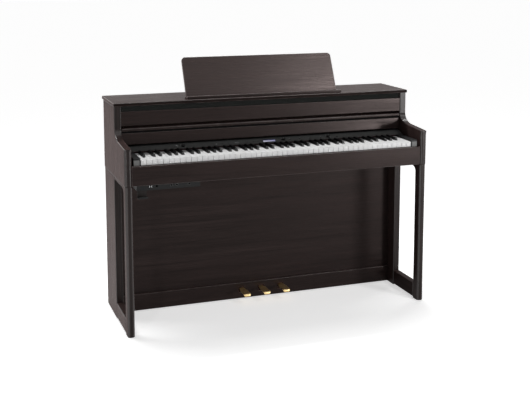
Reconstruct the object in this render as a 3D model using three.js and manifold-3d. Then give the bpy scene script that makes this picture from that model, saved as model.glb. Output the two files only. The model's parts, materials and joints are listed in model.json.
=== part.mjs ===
// A digital piano with 88 keys, built into an upright wooden cabinet on its stand: the keyboard with its
// action frame, a control panel, a key cover that slides out over the keys, a folding music rest,
// three pedals, and a stand of two open side frames joined by a knee panel and a kick rail.
// Millimetres, +Z up, X towards the player's right and Y towards the back.
// Pieces are placed from the front of the arms (Y = 0) and from the floor (Z = 0); the last lines move
// the whole so that its origin lies on the floor under the middle of its outline.
import * as THREE from "three";
import { mergeVertices } from "three/addons/utils/BufferGeometryUtils.js";
import Module from "manifold-3d";

const wasm = await Module();
wasm.setup();

// ---- Clearances ---------------------------------------------------------------------------------
const seat = 0.3; // between pieces that rest on, or are screwed to, each other
const running = 0.3; // around a shaft or pin in its hole, and beside a sliding piece

// ---- Keyboard -----------------------------------------------------------------------------------
const whitePitch = 23.5;
const whiteCount = 52;
const whiteGap = 1; // between two white keys
const whiteVisible = 150; // from a white key's front to the control panel
const whiteHead = 50; // the full-width part in front of the black keys
const whiteBody = 22; // depth of a key below its top
const blackWidth = 11;
const blackTopWidth = 9;
const blackLength = 97;
const blackRise = 11; // above the white keys
const blackNose = 5; // how far the black key's front leans back
const tailGap = 0.6; // between a black key and the white keys beside it
const keyReach = 232; // from the key's front to the line that it turns about
const keyHeel = 12; // behind that line
const stemBack = 42; // from the end of a key's deep part to that line
const barGap = 4; // between the keys' deep parts and the bar that joins a bank of keys
const whiteHeelHeight = 7;
const blackHeelHeight = 13;
const firstSingle = 23; // the first white key of the octave whose keys turn one by one

// ---- Cabinet ------------------------------------------------------------------------------------
const sideThick = 30;
const cheekWidth = 29;
const cheekGap = 10; // shadow gap between a cheek block and the side panel
const cheekRise = 8; // above the white keys
const slipInset = 3; // the key slip behind the front of the arms
const slipThick = 14;
const slipHeight = 80;
const slipLift = 2; // the key slip's lower edge above that of the side panels
const keyToSlip = 1;
const frontReveal = 23; // the white keys' tops above the key slip
const bedLift = 4;
const bedThick = 20;
const panelRun = 43.5; // the control panel's sloping face, measured along Y
const panelSlope = THREE.MathUtils.degToRad(20.2);
const panelThick = 3;
const panelLipRise = 5; // the control panel's front edge above the white keys
const panelLipDepth = 3.5;
const panelShelf = 33; // level part behind the slope
const feltThick = 1.8;
const feltLift = 1;
const feltHeight = 6;
const coverClear = 10; // between the control panel and the key cover's front strip
const coverSlot = 11; // between the key cover and the name panel
const nameHeight = 60;
const nameThick = 15;
const grilleHeight = 24;
const grilleRecess = 6;
const grilleThick = 8;
const grilleRibs = 3;
const stileProud = 1; // the side panels in front of the name panel
const nameSetback = 5; // the name panel's face in front of the slope's upper edge
const upperDepth = 243; // the side panels from the stile's front to their back
const topThick = 14;
const topSideOverhang = 3;
const topFrontOverhang = 8;
const topBackOverhang = 17;
const backThick = 8;
const backInset = 4;
const armFrontRise = 49; // the arms above the white keys, at the front
const armBackRise = 59; // and at the elbow
const elbowY = 150;
const shoulderRise = 7; // start of the stile's curve above the key cover
const softEdge = 5; // rounding of the wooden edges

// ---- Stand --------------------------------------------------------------------------------------
const standHeight = 628;
const standInset = 2; // the side frames inside the faces of the side panels
const frameThick = 30;
const legDepth = 44;
const postDepth = 211;
const footClear = 6;
const footHeight = 64;
const frameRail = 13; // the rail along the top of a side frame
const haunchAcross = 43;
const haunchDown = 25;
const kneeSetback = 62; // the knee panel behind the post's front edge
const kneeThick = 15;
const kickProud = 10;
const kickThick = 28;
const kickHeight = 73;
const kickClear = 5;

// ---- Key cover ----------------------------------------------------------------------------------
const coverSideGap = 3;
const coverBoard = 9;
const coverDrop = 8; // the board's top below the moulding's top
const coverRear = 3; // between the board and the back panel
const mouldingHeight = 12;
const mouldingProud = 4;
const grooveHeight = 9;
const grooveDepth = 5;
const stripHeight = 48;
const stripThick = 12;
const stripLean = 4;
const railInset = 20; // a rail's middle from the end of the board
const railWidth = 10;
const railHeight = 8;
const shoeLength = 20;
const shoeWall = 7;
const shoeDrop = 7; // the guide shaft's axis below the rails
const guideRadius = 5;
const guideBehindFront = 29; // the guide shaft's axis behind the cover's front
const guideEnd = 9; // how far the shaft enters a side panel

// ---- Music rest ---------------------------------------------------------------------------------
const ledgeWidth = 720;
const ledgeSetback = 20; // behind the top board's front edge
const ledgeBase = 2.2;
const ledgeLip = 4; // height of the lip above the ledge's top
const ledgeLipDepth = 6;
const ledgeTop = 8;
const restWidth = 708;
const restHeight = 177;
const restThick = 12;
const restLean = THREE.MathUtils.degToRad(25.7);
const restAxisBack = 50; // the rest's turning line behind the ledge's front
const restCorner = 14;
const stayWidth = 120;
const stayThick = 4.5;
const stayLength = 70;
const stayUp = 66; // the stay's pin above the rest's turning line, along the rest
const stayPin = 1.6;
const stayPinEnd = 4;
const stayRoom = 2; // clearance of the stay in its pocket
const stayLift = 0.6; // the stay's foot above the top board

// ---- Controls, measured along X from the middle of the keyboard ---------------------------------
const powerX = -416;
const volumeX = -390;
const dialX = 69;
const toneX = 284;
const buttonXs = [100, 148, 196, 249, 328];
const displayX = 1;
const displayWidth = 62;
const displayHeight = 18;
const controlAt = 0.5; // share of the slope's length at which the controls sit
const knobRadius = 7.5;
const knobHeight = 8;
const capRadius = 3.5;
const capHeight = 1.6;
const stemRadius = 2.5;
const stemDown = 4.6; // the stems of knobs and buttons below the panel's face
const stripUnder = 1; // thickness of the strip that carries the buttons
const stripWide = 12;

// ---- Sockets under the key bed ------------------------------------------------------------------
const boxLeft = 26; // from the side panel's inner face
const boxWidth = 268;
const boxSetback = 40; // behind the front of the arms
const boxDepth = 100;
const boxHeight = 31;
const phoneFromLeft = [145, 168];
const phoneRadius = 3.4;
const phoneDepth = 24;
const inletFromLeft = 60;
const inletRadius = 3.4;
const inletDepth = 14;
const hookWidth = 40;
const hookHeight = 31;
const hookReach = 24;
const hookThick = 3;
const hookLip = 9;
const hookFromLeft = 4;

// ---- Pedals -------------------------------------------------------------------------------------
const pedalPitch = 94;
const pedalNeck = 22;
const pedalWide = 34;
const pedalCorner = 14; // rounding of the wide part's corners
const pedalThick = 10;
const pedalLip = 6; // how far the tip turns down
const pedalTipY = 205;
const pedalFlare = 76; // length of the wide part
const pedalTopZ = 50;
const pedalTilt = THREE.MathUtils.degToRad(5); // how far a pedal goes down
const pedalAxisBack = 42; // the pedals' turning line behind the kick rail
const pedalBarrel = 8;
const pedalPin = 4;
const cradleWide = 6;
const slotSide = 3; // beside a pedal's neck in the kick rail
const slotOver = 3;
const boxHalf = 150; // half the pedal box's length
const boxWall = 6;
const boxFloorZ = 12;
const pedalBoxDeep = 74;
const pedalBoxTop = 80;
const screwRadius = 5;
const screwTop = 30;
const glideRadius = 15;
const glideHeight = 5;

// ---- Inside the cabinet -------------------------------------------------------------------------
const frameBase = 6; // the action frame's base plate
const frameFront = 6; // the action frame behind the keys' fronts
const stopRail = 20; // the front rail's depth
const keyDip = 10.5;
const balanceHalf = 4;
const frameBack = 45; // the action frame's back wall behind the turning line
const frameWall = 10;
const keeperThick = 5;
const keeperGap = 0.4;
const keeperRelief = 2; // clearance above the heels behind the keeper's nose
const hammerFront = 50; // behind the keys' fronts
const hammerLength = 130;
const hammerWide = 8;
const hammerHeight = 9;
const hammerRail = 16;
const hammerLift = 10; // the levers above the base plate
const hammerCount = 44;
const speakerX = 430;
const speakerRadius = 58;
const coneRadius = 50;
const magnetRadius = 32;
const speakerHeight = 52;
const boardLeftX = -220;
const boardLong = 180;
const boardDeep = 90;
const boardLift = 26;
const boardThick = 2;
const pillarRadius = 3;
const boardParts = [
  { u: 0.3, v: 0.35, long: 26, deep: 26, high: 3 },
  { u: 0.6, v: 0.6, long: 20, deep: 14, high: 8 },
  { u: 0.82, v: 0.4, long: 12, deep: 30, high: 14 },
]; // each one's place as shares of the board's length and depth, and its size

// ---- Heights and depths that follow -------------------------------------------------------------
const keyboardWidth = whitePitch * whiteCount;
const innerHalf = keyboardWidth / 2 + whiteGap + cheekWidth + cheekGap;
const caseHalf = innerHalf + sideThick;
const betweenSides = innerHalf - seat;
const slipBottom = standHeight + slipLift;
const slipTop = slipBottom + slipHeight;
const whiteTop = slipTop + frontReveal;
const keyUnder = whiteTop - whiteBody;
const keyFrontY = slipInset + slipThick + keyToSlip;
const pivotY = keyFrontY + keyReach;
const keyEndY = pivotY + keyHeel;
const stemEndY = pivotY - stemBack;
const bedBottom = standHeight + bedLift;
const bedTop = bedBottom + bedThick;
const lipY = keyFrontY + whiteVisible;
const lipZ = whiteTop + panelLipRise;
const slopeTopY = lipY + panelRun;
const slopeTopZ = lipZ + panelRun * Math.tan(panelSlope);
const slopeLength = panelRun / Math.cos(panelSlope);
const nameFrontY = slopeTopY - nameSetback;
const stileFrontY = nameFrontY - stileProud;
const caseBackY = stileFrontY + upperDepth;
const backPanelY = caseBackY - backInset - backThick;
const coverBottom = slopeTopZ + coverClear;
const grooveBottom = coverBottom + stripHeight;
const mouldingBottom = grooveBottom + grooveHeight;
const coverTop = mouldingBottom + mouldingHeight;
const nameBottom = coverTop + coverSlot;
const nameTop = nameBottom + nameHeight;
const topUnder = nameTop + grilleHeight;
const caseTop = topUnder + topThick;
const topFrontY = stileFrontY - topFrontOverhang;
const topBackY = caseBackY + topBackOverhang;
const frameOuter = caseHalf - standInset;
const frameInner = frameOuter - frameThick;
const openTop = standHeight - frameRail;
const postFrontY = caseBackY - postDepth;
const kneeFrontY = postFrontY + kneeSetback;
const kickFrontY = kneeFrontY - kickProud;
const kickBackY = kickFrontY + kickThick;
const kickTop = kickClear + kickHeight;

// ---- Materials ----------------------------------------------------------------------------------
const finish = (color, roughness, metalness = 0) => ({ color, roughness, metalness });
const wood = finish(0x33292a, 0.45);
const darkPlastic = finish(0x303233, 0.5);
const blackPlastic = finish(0x141415, 0.4);
const ivory = finish(0xe9e8e4, 0.35);
const ebony = finish(0x18181a, 0.3);
const brass = finish(0xb9975b, 0.28, 1);
const steel = finish(0x9b9da0, 0.35, 1);
const felt = finish(0x5a1622, 0.95);
const glass = finish(0xb9c6dc, 0.1);
const hardboard = finish(0x4a3a30, 0.8);
const circuit = finish(0x1f4a2c, 0.6);

// ---- Making solids ------------------------------------------------------------------------------

// A flat outline from corners [a, b, r]; r is how far the corner's curve reaches along each side.
function outline(corners) {
  const shape = new THREE.Shape();
  corners.forEach(([x, y, r = 0], i) => {
    const corner = new THREE.Vector2(x, y);
    const towards = ([ox, oy]) => new THREE.Vector2(ox, oy).sub(corner).setLength(r).add(corner);
    const start = towards(corners.at(i - 1));
    const end = towards(corners[(i + 1) % corners.length]);
    if (i === 0) shape.moveTo(start.x, start.y);
    else shape.lineTo(start.x, start.y);
    if (r > 0) shape.quadraticCurveTo(x, y, end.x, end.y);
  });
  return shape;
}

// An outline pushed along local z from 0 to depth, with its edges rounded by soft.
function pushed(shape, depth, soft) {
  const geometry = new THREE.ExtrudeGeometry(shape, {
    depth: depth - 2 * soft,
    bevelEnabled: soft > 0,
    bevelThickness: soft,
    bevelSize: soft,
    bevelOffset: -soft,
    bevelSegments: 2,
    curveSegments: 4,
  });
  return geometry.translate(0, 0, soft);
}

// A shape drawn in (Y, Z), carried along X.
function alongX(shape, x0, x1, soft = 0) {
  const turn = new THREE.Matrix4().makeBasis(
    new THREE.Vector3(0, 1, 0),
    new THREE.Vector3(0, 0, 1),
    new THREE.Vector3(1, 0, 0),
  );
  return pushed(shape, x1 - x0, soft).applyMatrix4(turn).translate(x0, 0, 0);
}

// A shape drawn in (X, Y), carried up Z.
function upZ(shape, z0, z1, soft = 0) {
  return pushed(shape, z1 - z0, soft).translate(0, 0, z0);
}

const rectangle = (a0, a1, b0, b1) => outline([[a0, b0], [a1, b0], [a1, b1], [a0, b1]]);

function block([x0, x1], [y0, y1], [z0, z1], soft = 0) {
  return alongX(rectangle(y0, y1, z0, z1), x0, x1, soft);
}

function rodX(radius, [x0, x1], y, z, sides = 16) {
  const rod = new THREE.CylinderGeometry(radius, radius, x1 - x0, sides);
  return rod.rotateZ(Math.PI / 2).translate((x0 + x1) / 2, y, z);
}

function rodY(radius, x, [y0, y1], z, sides = 16) {
  return new THREE.CylinderGeometry(radius, radius, y1 - y0, sides).translate(x, (y0 + y1) / 2, z);
}

function rodZ(radius, x, y, [z0, z1], sides = 16) {
  const rod = new THREE.CylinderGeometry(radius, radius, z1 - z0, sides);
  return rod.rotateX(Math.PI / 2).translate(x, y, (z0 + z1) / 2);
}

function solid(geometry) {
  const bare = new THREE.BufferGeometry();
  bare.setAttribute("position", geometry.getAttribute("position"));
  bare.setIndex(geometry.index);
  const merged = mergeVertices(bare, 1e-4);
  const triVerts = new Uint32Array(merged.index.array);
  const vertProperties = merged.attributes.position.array;
  return new wasm.Manifold(new wasm.Mesh({ numProp: 3, vertProperties, triVerts }));
}

function surface(made) {
  const mesh = made.getMesh();
  const geometry = new THREE.BufferGeometry();
  geometry.setAttribute("position", new THREE.BufferAttribute(mesh.vertProperties, 3));
  geometry.setIndex(new THREE.BufferAttribute(mesh.triVerts, 1));
  const flat = geometry.toNonIndexed();
  flat.computeVertexNormals();
  return flat;
}

const joined = (...parts) => surface(parts.map(solid).reduce((all, next) => all.add(next)));
const cut = (body, ...tools) =>
  surface(tools.map(solid).reduce((left, next) => left.subtract(next), solid(body)));

const piano = new THREE.Group();

function piece(name, geometry, look, parent = piano) {
  const mesh = new THREE.Mesh(geometry, new THREE.MeshStandardMaterial(look));
  mesh.name = name;
  parent.add(mesh);
  return mesh;
}

const sides = [["left", -1], ["right", 1]];
const span = (side, near, far) => [Math.min(side * near, side * far), Math.max(side * near, side * far)];

// ---- Cabinet ------------------------------------------------------------------------------------

// Both side panels: the arm beside the keys, the curve up to the stile, and the hole for the cover's guide.
const guideY = nameFrontY - mouldingProud + guideBehindFront;
const boardTop = coverTop - coverDrop;
const railUnder = boardTop - coverBoard - railHeight;
const guideZ = railUnder - shoeDrop;

function sideProfile() {
  const top = topUnder - seat;
  const armBack = whiteTop + armBackRise;
  const armFront = whiteTop + armFrontRise;
  const shoulder = coverTop + shoulderRise;
  const shape = new THREE.Shape();
  shape.moveTo(0, standHeight);
  shape.lineTo(caseBackY, standHeight);
  shape.lineTo(caseBackY, top);
  shape.lineTo(stileFrontY, top);
  shape.lineTo(stileFrontY, shoulder);
  shape.quadraticCurveTo(stileFrontY, armBack + (shoulder - armBack) / 4, elbowY, armBack);
  shape.lineTo(softEdge * 2, armFront + softEdge / 2);
  shape.quadraticCurveTo(0, armFront, 0, armFront - softEdge * 2);
  return shape;
}

for (const [name, side] of sides) {
  const panel = alongX(sideProfile(), ...span(side, innerHalf, caseHalf), softEdge);
  const through = span(side, innerHalf - 1, innerHalf + guideEnd + 1);
  const hole = rodX(guideRadius + running, through, guideY, guideZ);
  piece(`side_panel_${name}`, cut(panel, hole), wood);
}

const topHalf = caseHalf + topSideOverhang;
const topBoard = block([-topHalf, topHalf], [topFrontY, topBackY], [topUnder, caseTop], softEdge / 2);
piece("top_board", topBoard, wood);
piece(
  "name_panel",
  block([-betweenSides, betweenSides], [nameFrontY, nameFrontY + nameThick], [nameBottom, nameTop]),
  wood,
);

// The speaker slot's black trim, ribbed along its length.
function grilleProfile() {
  const face = nameFrontY + grilleRecess;
  const low = nameTop + seat;
  const high = topUnder - seat;
  const step = (high - low) / (2 * grilleRibs + 1);
  const corners = [[face + grilleThick, low], [face + grilleThick, high]];
  for (let i = 2 * grilleRibs; i >= 0; i -= 1) {
    const y = i % 2 === 0 ? face : face + grilleThick / 2;
    corners.push([y, low + (i + 1) * step], [y, low + i * step]);
  }
  return outline(corners);
}
piece("speaker_grille", alongX(grilleProfile(), -betweenSides, betweenSides), blackPlastic);

piece(
  "rear_cover",
  block(
    [-betweenSides, betweenSides],
    [backPanelY, backPanelY + backThick],
    [bedTop + seat, topUnder - seat],
  ),
  hardboard,
);

const speakerY = (keyEndY + frameBack + backPanelY) / 2;
const speakerHoles = sides.map(([, side]) =>
  rodZ(coneRadius, side * speakerX, speakerY, [bedBottom - 1, bedTop + 1], 24),
);
piece(
  "key_bed",
  cut(
    block(
      [-betweenSides, betweenSides],
      [slipInset + slipThick + seat, backPanelY + backThick],
      [bedBottom, bedTop],
    ),
    ...speakerHoles,
  ),
  hardboard,
);

piece(
  "key_slip",
  block([-betweenSides, betweenSides], [slipInset, slipInset + slipThick], [slipBottom, slipTop], 1),
  wood,
);

for (const [name, side] of sides) {
  const near = keyboardWidth / 2 + whiteGap;
  const top = whiteTop + cheekRise;
  const profile = outline([
    [keyFrontY, bedTop + seat],
    [lipY - seat, bedTop + seat],
    [lipY - seat, whiteTop],
    [lipY - feltThick * 2, top],
    [keyFrontY, top, softEdge / 2],
  ]);
  piece(`cheek_block_${name}`, alongX(profile, ...span(side, near, near + cheekWidth)), darkPlastic);
}

// ---- Control panel and what sits on it ----------------------------------------------------------

// The deck's own frame: x along the keyboard, y up the slope from its front edge, z out of its face.
const deck = new THREE.Group();
deck.position.set(0, lipY, lipZ);
deck.rotation.x = panelSlope;
deck.updateMatrix();
piano.add(deck);
const controlY = slopeLength * controlAt;
const onDeck = (geometry) => geometry.applyMatrix4(deck.matrix);
const stemHole = (x, radius = stemRadius) =>
  onDeck(rodZ(radius + running, x, controlY, [-panelThick * 2, 1]));

function panelProfile() {
  const under = panelThick / Math.cos(panelSlope);
  const shelfY = slopeTopY + panelShelf;
  return outline([
    [lipY, lipZ],
    [lipY, lipZ - panelLipDepth],
    [lipY + panelThick, lipZ - panelLipDepth],
    [lipY + panelThick, lipZ + panelThick * Math.tan(panelSlope) - under],
    [slopeTopY, slopeTopZ - under],
    [shelfY, slopeTopZ - under],
    [shelfY, slopeTopZ],
    [slopeTopY, slopeTopZ],
  ]);
}

const displaySpan = [displayX - displayWidth / 2, displayX + displayWidth / 2];
const displayRise = [controlY - displayHeight / 2, controlY + displayHeight / 2];
const wider = ([low, high], by) => [low - by, high + by];
piece(
  "control_panel",
  cut(
    alongX(panelProfile(), -betweenSides, betweenSides),
    ...[powerX, volumeX, dialX, toneX].map((x) => stemHole(x)),
    ...buttonXs.map((x) => stemHole(x, capRadius)),
    onDeck(block(wider(displaySpan, seat), wider(displayRise, seat), [-panelThick * 2, 1])),
  ),
  darkPlastic,
);
piece("display_window", block(displaySpan, displayRise, [-panelThick + seat, -seat]), glass, deck);

// A knob is a cap on a stem through the panel; its grip is slightly narrower at the top.
function knob(name, x) {
  const cap = new THREE.CylinderGeometry(knobRadius * 0.9, knobRadius, knobHeight, 24);
  const geometry = joined(
    cap.rotateX(Math.PI / 2).translate(0, 0, knobHeight / 2 + seat),
    rodZ(stemRadius, 0, 0, [-stemDown, knobHeight / 2]),
    block([-0.6, 0.6], [0, knobRadius * 0.8], [knobHeight / 2, knobHeight + seat * 3]),
  );
  piece(name, geometry, blackPlastic, deck).position.set(x, controlY, 0);
}
knob("volume_knob", volumeX);
knob("dial_knob", dialX);
knob("tone_knob", toneX);

const powerCap = joined(
  rodZ(capRadius + 1, 0, 0, [1, 1 + capHeight + 1]),
  rodZ(stemRadius, 0, 0, [-stemDown, 1 + capHeight]),
);
piece("power_button", powerCap, ivory, deck).position.set(powerX, controlY, 0);

// The small buttons share a rubber strip under the panel, which passes round the tone knob's stem.
const stripTop = -panelThick - seat;
const buttonStrip = cut(
  joined(
    block(
      [buttonXs[0] - stripWide / 2, buttonXs.at(-1) + stripWide / 2],
      [controlY - stripWide / 2, controlY + stripWide / 2],
      [stripTop - stripUnder, stripTop],
    ),
    ...buttonXs.map((x) => rodZ(capRadius, x, controlY, [stripTop - stripUnder / 2, capHeight])),
  ),
  rodZ(stemRadius + 1, toneX, controlY, [stripTop - stripUnder * 2, 0]),
);
piece("panel_buttons", buttonStrip, blackPlastic, deck);

piece(
  "name_felt",
  block(
    [-keyboardWidth / 2, keyboardWidth / 2],
    [lipY - seat - feltThick, lipY - seat],
    [whiteTop + feltLift, whiteTop + feltLift + feltHeight],
  ),
  felt,
);

// ---- Keys ---------------------------------------------------------------------------------------

// Where the black keys stand: in each run of white keys (C to E, F to B) the tails are equally wide.
const blackSlot = blackWidth + 2 * tailGap;
const keyboardLeft = -keyboardWidth / 2;
const letterOf = (white) => (white + 5) % 7; // 0 is C; the first white key is an A
const runs = { 0: 3, 3: 4 }; // a run's first letter and its number of white keys

function blackCentre(white) {
  const letter = letterOf(white);
  const runStart = letter < 3 ? 0 : 3;
  const count = runs[runStart];
  const tail = (count * whitePitch - (count - 1) * blackSlot) / count;
  const place = letter - runStart + 1;
  const runLeft = keyboardLeft + (white - (letter - runStart)) * whitePitch;
  return runLeft + place * tail + (place - 0.5) * blackSlot;
}
const hasBlack = (white) => white >= 0 && white < whiteCount - 1 && ![2, 6].includes(letterOf(white));

// A white key's sides behind its head, cut back for the black keys beside it.
function tailSides(white) {
  const left = keyboardLeft + white * whitePitch + whiteGap / 2;
  const right = left + whitePitch - whiteGap;
  return [
    hasBlack(white - 1) ? blackCentre(white - 1) + blackSlot / 2 : left,
    hasBlack(white) ? blackCentre(white) - blackSlot / 2 : right,
  ];
}

const whiteHeel = [whiteTop - whiteHeelHeight, whiteTop];
const blackHeel = [keyUnder, keyUnder + blackHeelHeight];

// White key: head and tail in one outline, and a shallow heel behind them.
function whiteKey(white) {
  const left = keyboardLeft + white * whitePitch + whiteGap / 2;
  const right = left + whitePitch - whiteGap;
  const [tailLeft, tailRight] = tailSides(white);
  const headEnd = keyFrontY + whiteHead;
  const plan = outline([
    [left, keyFrontY],
    [right, keyFrontY],
    [right, headEnd],
    [tailRight, headEnd],
    [tailRight, stemEndY],
    [tailLeft, stemEndY],
    [tailLeft, headEnd],
    [left, headEnd],
  ].filter(([x, y], i, all) => i === 0 || x !== all[i - 1][0] || y !== all[i - 1][1]));
  const heel = block([tailLeft, tailRight], [stemEndY - 1, keyEndY], whiteHeel);
  return [upZ(plan, keyUnder, whiteTop), heel];
}

// A block whose top is another rectangle than its bottom.
function frustum(bottom, top) {
  const geometry = new THREE.BoxGeometry(1, 1, 1);
  const place = geometry.getAttribute("position");
  for (let i = 0; i < place.count; i += 1) {
    const face = place.getZ(i) > 0 ? top : bottom;
    const x = face.x[place.getX(i) > 0 ? 1 : 0];
    const y = face.y[place.getY(i) > 0 ? 1 : 0];
    place.setXYZ(i, x, y, face.z);
  }
  return geometry;
}

// Black key: a deep stem between the tails, the raised wedge that the player sees, and a low heel.
function blackKey(white) {
  const centre = blackCentre(white);
  const front = keyFrontY + whiteHead + tailGap;
  const wide = (width) => [centre - width / 2, centre + width / 2];
  const stem = block(wide(blackWidth), [front, stemEndY], [keyUnder, whiteTop - 1]);
  const wedge = frustum(
    { x: wide(blackWidth), y: [front, front + blackLength], z: whiteTop - 2 },
    { x: wide(blackTopWidth), y: [front + blackNose, front + blackLength], z: whiteTop + blackRise },
  );
  const heel = block(wide(blackWidth), [stemEndY - 1, keyEndY], blackHeel);
  return [stem, wedge, heel];
}

const blackSides = (white) => wider([blackCentre(white), blackCentre(white)], blackWidth / 2);

// A bank of keys that move as one: the bar behind them joins their heels.
function bank(name, whites, makeKey, sidesOf, heel, look) {
  const reach = [sidesOf(whites[0])[0], sidesOf(whites.at(-1))[1]];
  const bar = block(reach, [stemEndY + barGap, keyEndY], heel);
  piece(name, joined(bar, ...whites.flatMap(makeKey)), look);
}

const every = (from, to) => Array.from({ length: to - from }, (_, i) => from + i);
const lastSingle = firstSingle + 7;
const banks = { bass: every(0, firstSingle), treble: every(lastSingle, whiteCount) };
for (const [part, whites] of Object.entries(banks)) {
  bank(`white_keys_${part}`, whites, whiteKey, tailSides, whiteHeel, ivory);
  bank(`black_keys_${part}`, whites.filter(hasBlack), blackKey, blackSides, blackHeel, ebony);
}

const letters = ["c", "d", "e", "f", "g", "a", "b"];
for (const white of every(firstSingle, lastSingle)) {
  const letter = letters[letterOf(white)];
  piece(`key_${letter}4`, joined(...whiteKey(white)), ivory);
  if (hasBlack(white)) piece(`key_${letter}_sharp4`, joined(...blackKey(white)), ebony);
}

// The action frame: base plate, stop rail under the keys' fronts, the balance rail that carries the black
// keys' heels, and the back wall with the keeper that the white keys' heels turn against.
function actionFrame() {
  const front = keyFrontY + frameFront;
  const low = bedTop + seat;
  const base = low + frameBase;
  const stop = keyUnder - keyDip;
  const balance = keyUnder - keeperGap;
  const wallBack = pivotY + frameBack;
  const nose = whiteTop + keeperGap;
  return outline([
    [front, low],
    [wallBack, low],
    [wallBack, nose + keeperThick],
    [pivotY - balanceHalf, nose + keeperThick],
    [pivotY - balanceHalf, nose],
    [pivotY + balanceHalf / 2, nose],
    [pivotY + balanceHalf / 2, whiteTop + keeperRelief],
    [wallBack - frameWall, whiteTop + keeperRelief],
    [wallBack - frameWall, base],
    [pivotY + balanceHalf, base],
    [pivotY + balanceHalf, balance],
    [pivotY - balanceHalf, balance],
    [pivotY - balanceHalf, base],
    [front + stopRail, base],
    [front + stopRail, stop],
    [front, stop],
  ]);
}
const keyboardHalf = keyboardWidth / 2;
piece("key_action_frame", alongX(actionFrame(), -keyboardHalf, keyboardHalf), steel);

// The hammer bank: weighted levers on one rail, under the keys.
const hammerY = keyFrontY + hammerFront;
const hammerZ = bedTop + seat + frameBase + hammerLift;
const hammerPitch = (keyboardWidth - 2 * hammerWide) / (hammerCount - 1);
const hammers = every(0, hammerCount).map((i) => {
  const x = -keyboardHalf + hammerWide + i * hammerPitch;
  return block(
    [x - hammerWide / 2, x + hammerWide / 2],
    [hammerY, hammerY + hammerLength],
    [hammerZ, hammerZ + hammerHeight],
  );
});
const hammerRailBlock = block(
  [-keyboardHalf + seat, keyboardHalf - seat],
  [hammerY + hammerRail, hammerY + 2 * hammerRail],
  [hammerZ - hammerLift + seat, hammerZ + hammerHeight / 2],
);
piece("hammer_bank", joined(hammerRailBlock, ...hammers), steel);

// ---- Key cover ----------------------------------------------------------------------------------

const coverHalf = innerHalf - coverSideGap;
const coverFrontY = nameFrontY - mouldingProud;
const boardUnder = boardTop - coverBoard;
const boardFrontY = nameFrontY + stripThick + seat;
const boardBackY = backPanelY - coverRear;

// The cover's front: a rounded moulding above a groove, and the strip that hangs over the controls.
const coverFront = outline([
  [coverFrontY, coverTop, mouldingHeight / 3],
  [coverFrontY, mouldingBottom, mouldingHeight / 3],
  [nameFrontY + grooveDepth, mouldingBottom],
  [nameFrontY + grooveDepth, grooveBottom],
  [nameFrontY, grooveBottom, 1],
  [nameFrontY - stripLean, coverBottom, 1],
  [nameFrontY - stripLean + stripThick, coverBottom],
  [nameFrontY + stripThick, grooveBottom],
  [nameFrontY + stripThick, coverTop],
].reverse());
piece("key_cover_front", alongX(coverFront, -coverHalf, coverHalf), wood);

const railMiddle = coverHalf - railInset;
const railSpan = (side, half) => span(side, railMiddle - half, railMiddle + half);
const rails = sides.map(([, side]) =>
  block(
    railSpan(side, railWidth / 2),
    [boardFrontY + stripLean, boardBackY - stripLean],
    [railUnder, boardUnder + 1],
  ),
);
const coverPanel = block([-coverHalf, coverHalf], [boardFrontY, boardBackY], [boardUnder, boardTop]);
piece("key_cover_board", joined(coverPanel, ...rails), wood);

// The guide: a shaft across the case with a shoe round each rail; it rocks as the cover slides through it.
const shoeHalf = railWidth / 2 + running + shoeWall;
const shoes = sides.map(([, side]) =>
  block(
    railSpan(side, shoeHalf),
    [guideY - shoeLength / 2, guideY + shoeLength / 2],
    [guideZ - shoeDrop, boardUnder - 2],
  ),
);
const shoeSlots = sides.map(([, side]) =>
  block(
    railSpan(side, railWidth / 2 + running),
    [guideY - shoeLength, guideY + shoeLength],
    [railUnder - running, boardUnder],
  ),
);
const guideHalf = innerHalf + guideEnd;
const guideBody = joined(rodX(guideRadius, [-guideHalf, guideHalf], guideY, guideZ), ...shoes);
piece("key_cover_guide", cut(guideBody, ...shoeSlots), steel);

// ---- Music rest ---------------------------------------------------------------------------------

const ledgeFrontY = topFrontY + ledgeSetback;
const restAxisY = ledgeFrontY + restAxisBack;
const restHalfThick = restThick / 2;
const restAxisZ = caseTop + seat + ledgeBase + running + restHalfThick;
const ledgeTopZ = caseTop + seat + ledgeTop;
const ledge = outline([
  [ledgeFrontY, caseTop + seat],
  [restAxisY + restHalfThick, caseTop + seat],
  [restAxisY + restHalfThick, caseTop + seat + ledgeBase],
  [restAxisY - restHalfThick - running, caseTop + seat + ledgeBase],
  [restAxisY - restHalfThick - running, ledgeTopZ],
  [ledgeFrontY + ledgeLipDepth, ledgeTopZ],
  [ledgeFrontY + ledgeLipDepth, ledgeTopZ + ledgeLip, 2],
  [ledgeFrontY, ledgeTopZ + ledgeLip, 2],
]);
piece("music_ledge", alongX(ledge, -ledgeWidth / 2, ledgeWidth / 2), wood);

// The rest's own frame: z up its face, y out of its back, at the line that it folds about.
const rest = new THREE.Group();
rest.position.set(0, restAxisY, restAxisZ);
rest.rotation.x = -restLean;
piano.add(rest);

function restBody() {
  const half = restWidth / 2;
  const face = outline([
    [-half, 0],
    [half, 0],
    [half, restHeight, restCorner],
    [-half, restHeight, restCorner],
  ]);
  const slab = pushed(face, restThick, 1).rotateX(Math.PI / 2).translate(0, restHalfThick, 0);
  const bead = rodX(restHalfThick, [-half, half], 0, 0);
  const pocket = block(
    [-stayWidth / 2 - stayRoom, stayWidth / 2 + stayRoom],
    [stayY - stayThick / 2 - seat, restThick],
    [stayUp - stayThick - stayRoom, stayUp + stayLength + stayThick / 2 + stayRoom],
  );
  const pinHalf = stayWidth / 2 + stayRoom + stayPinEnd;
  const pinHole = rodX(stayPin + running, [-pinHalf, pinHalf], stayY, stayUp);
  return cut(joined(slab, bead), pocket, pinHole);
}
const stayY = restHalfThick - stayThick / 2 - seat * 2;
piece("music_rest", restBody(), wood, rest);

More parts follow.
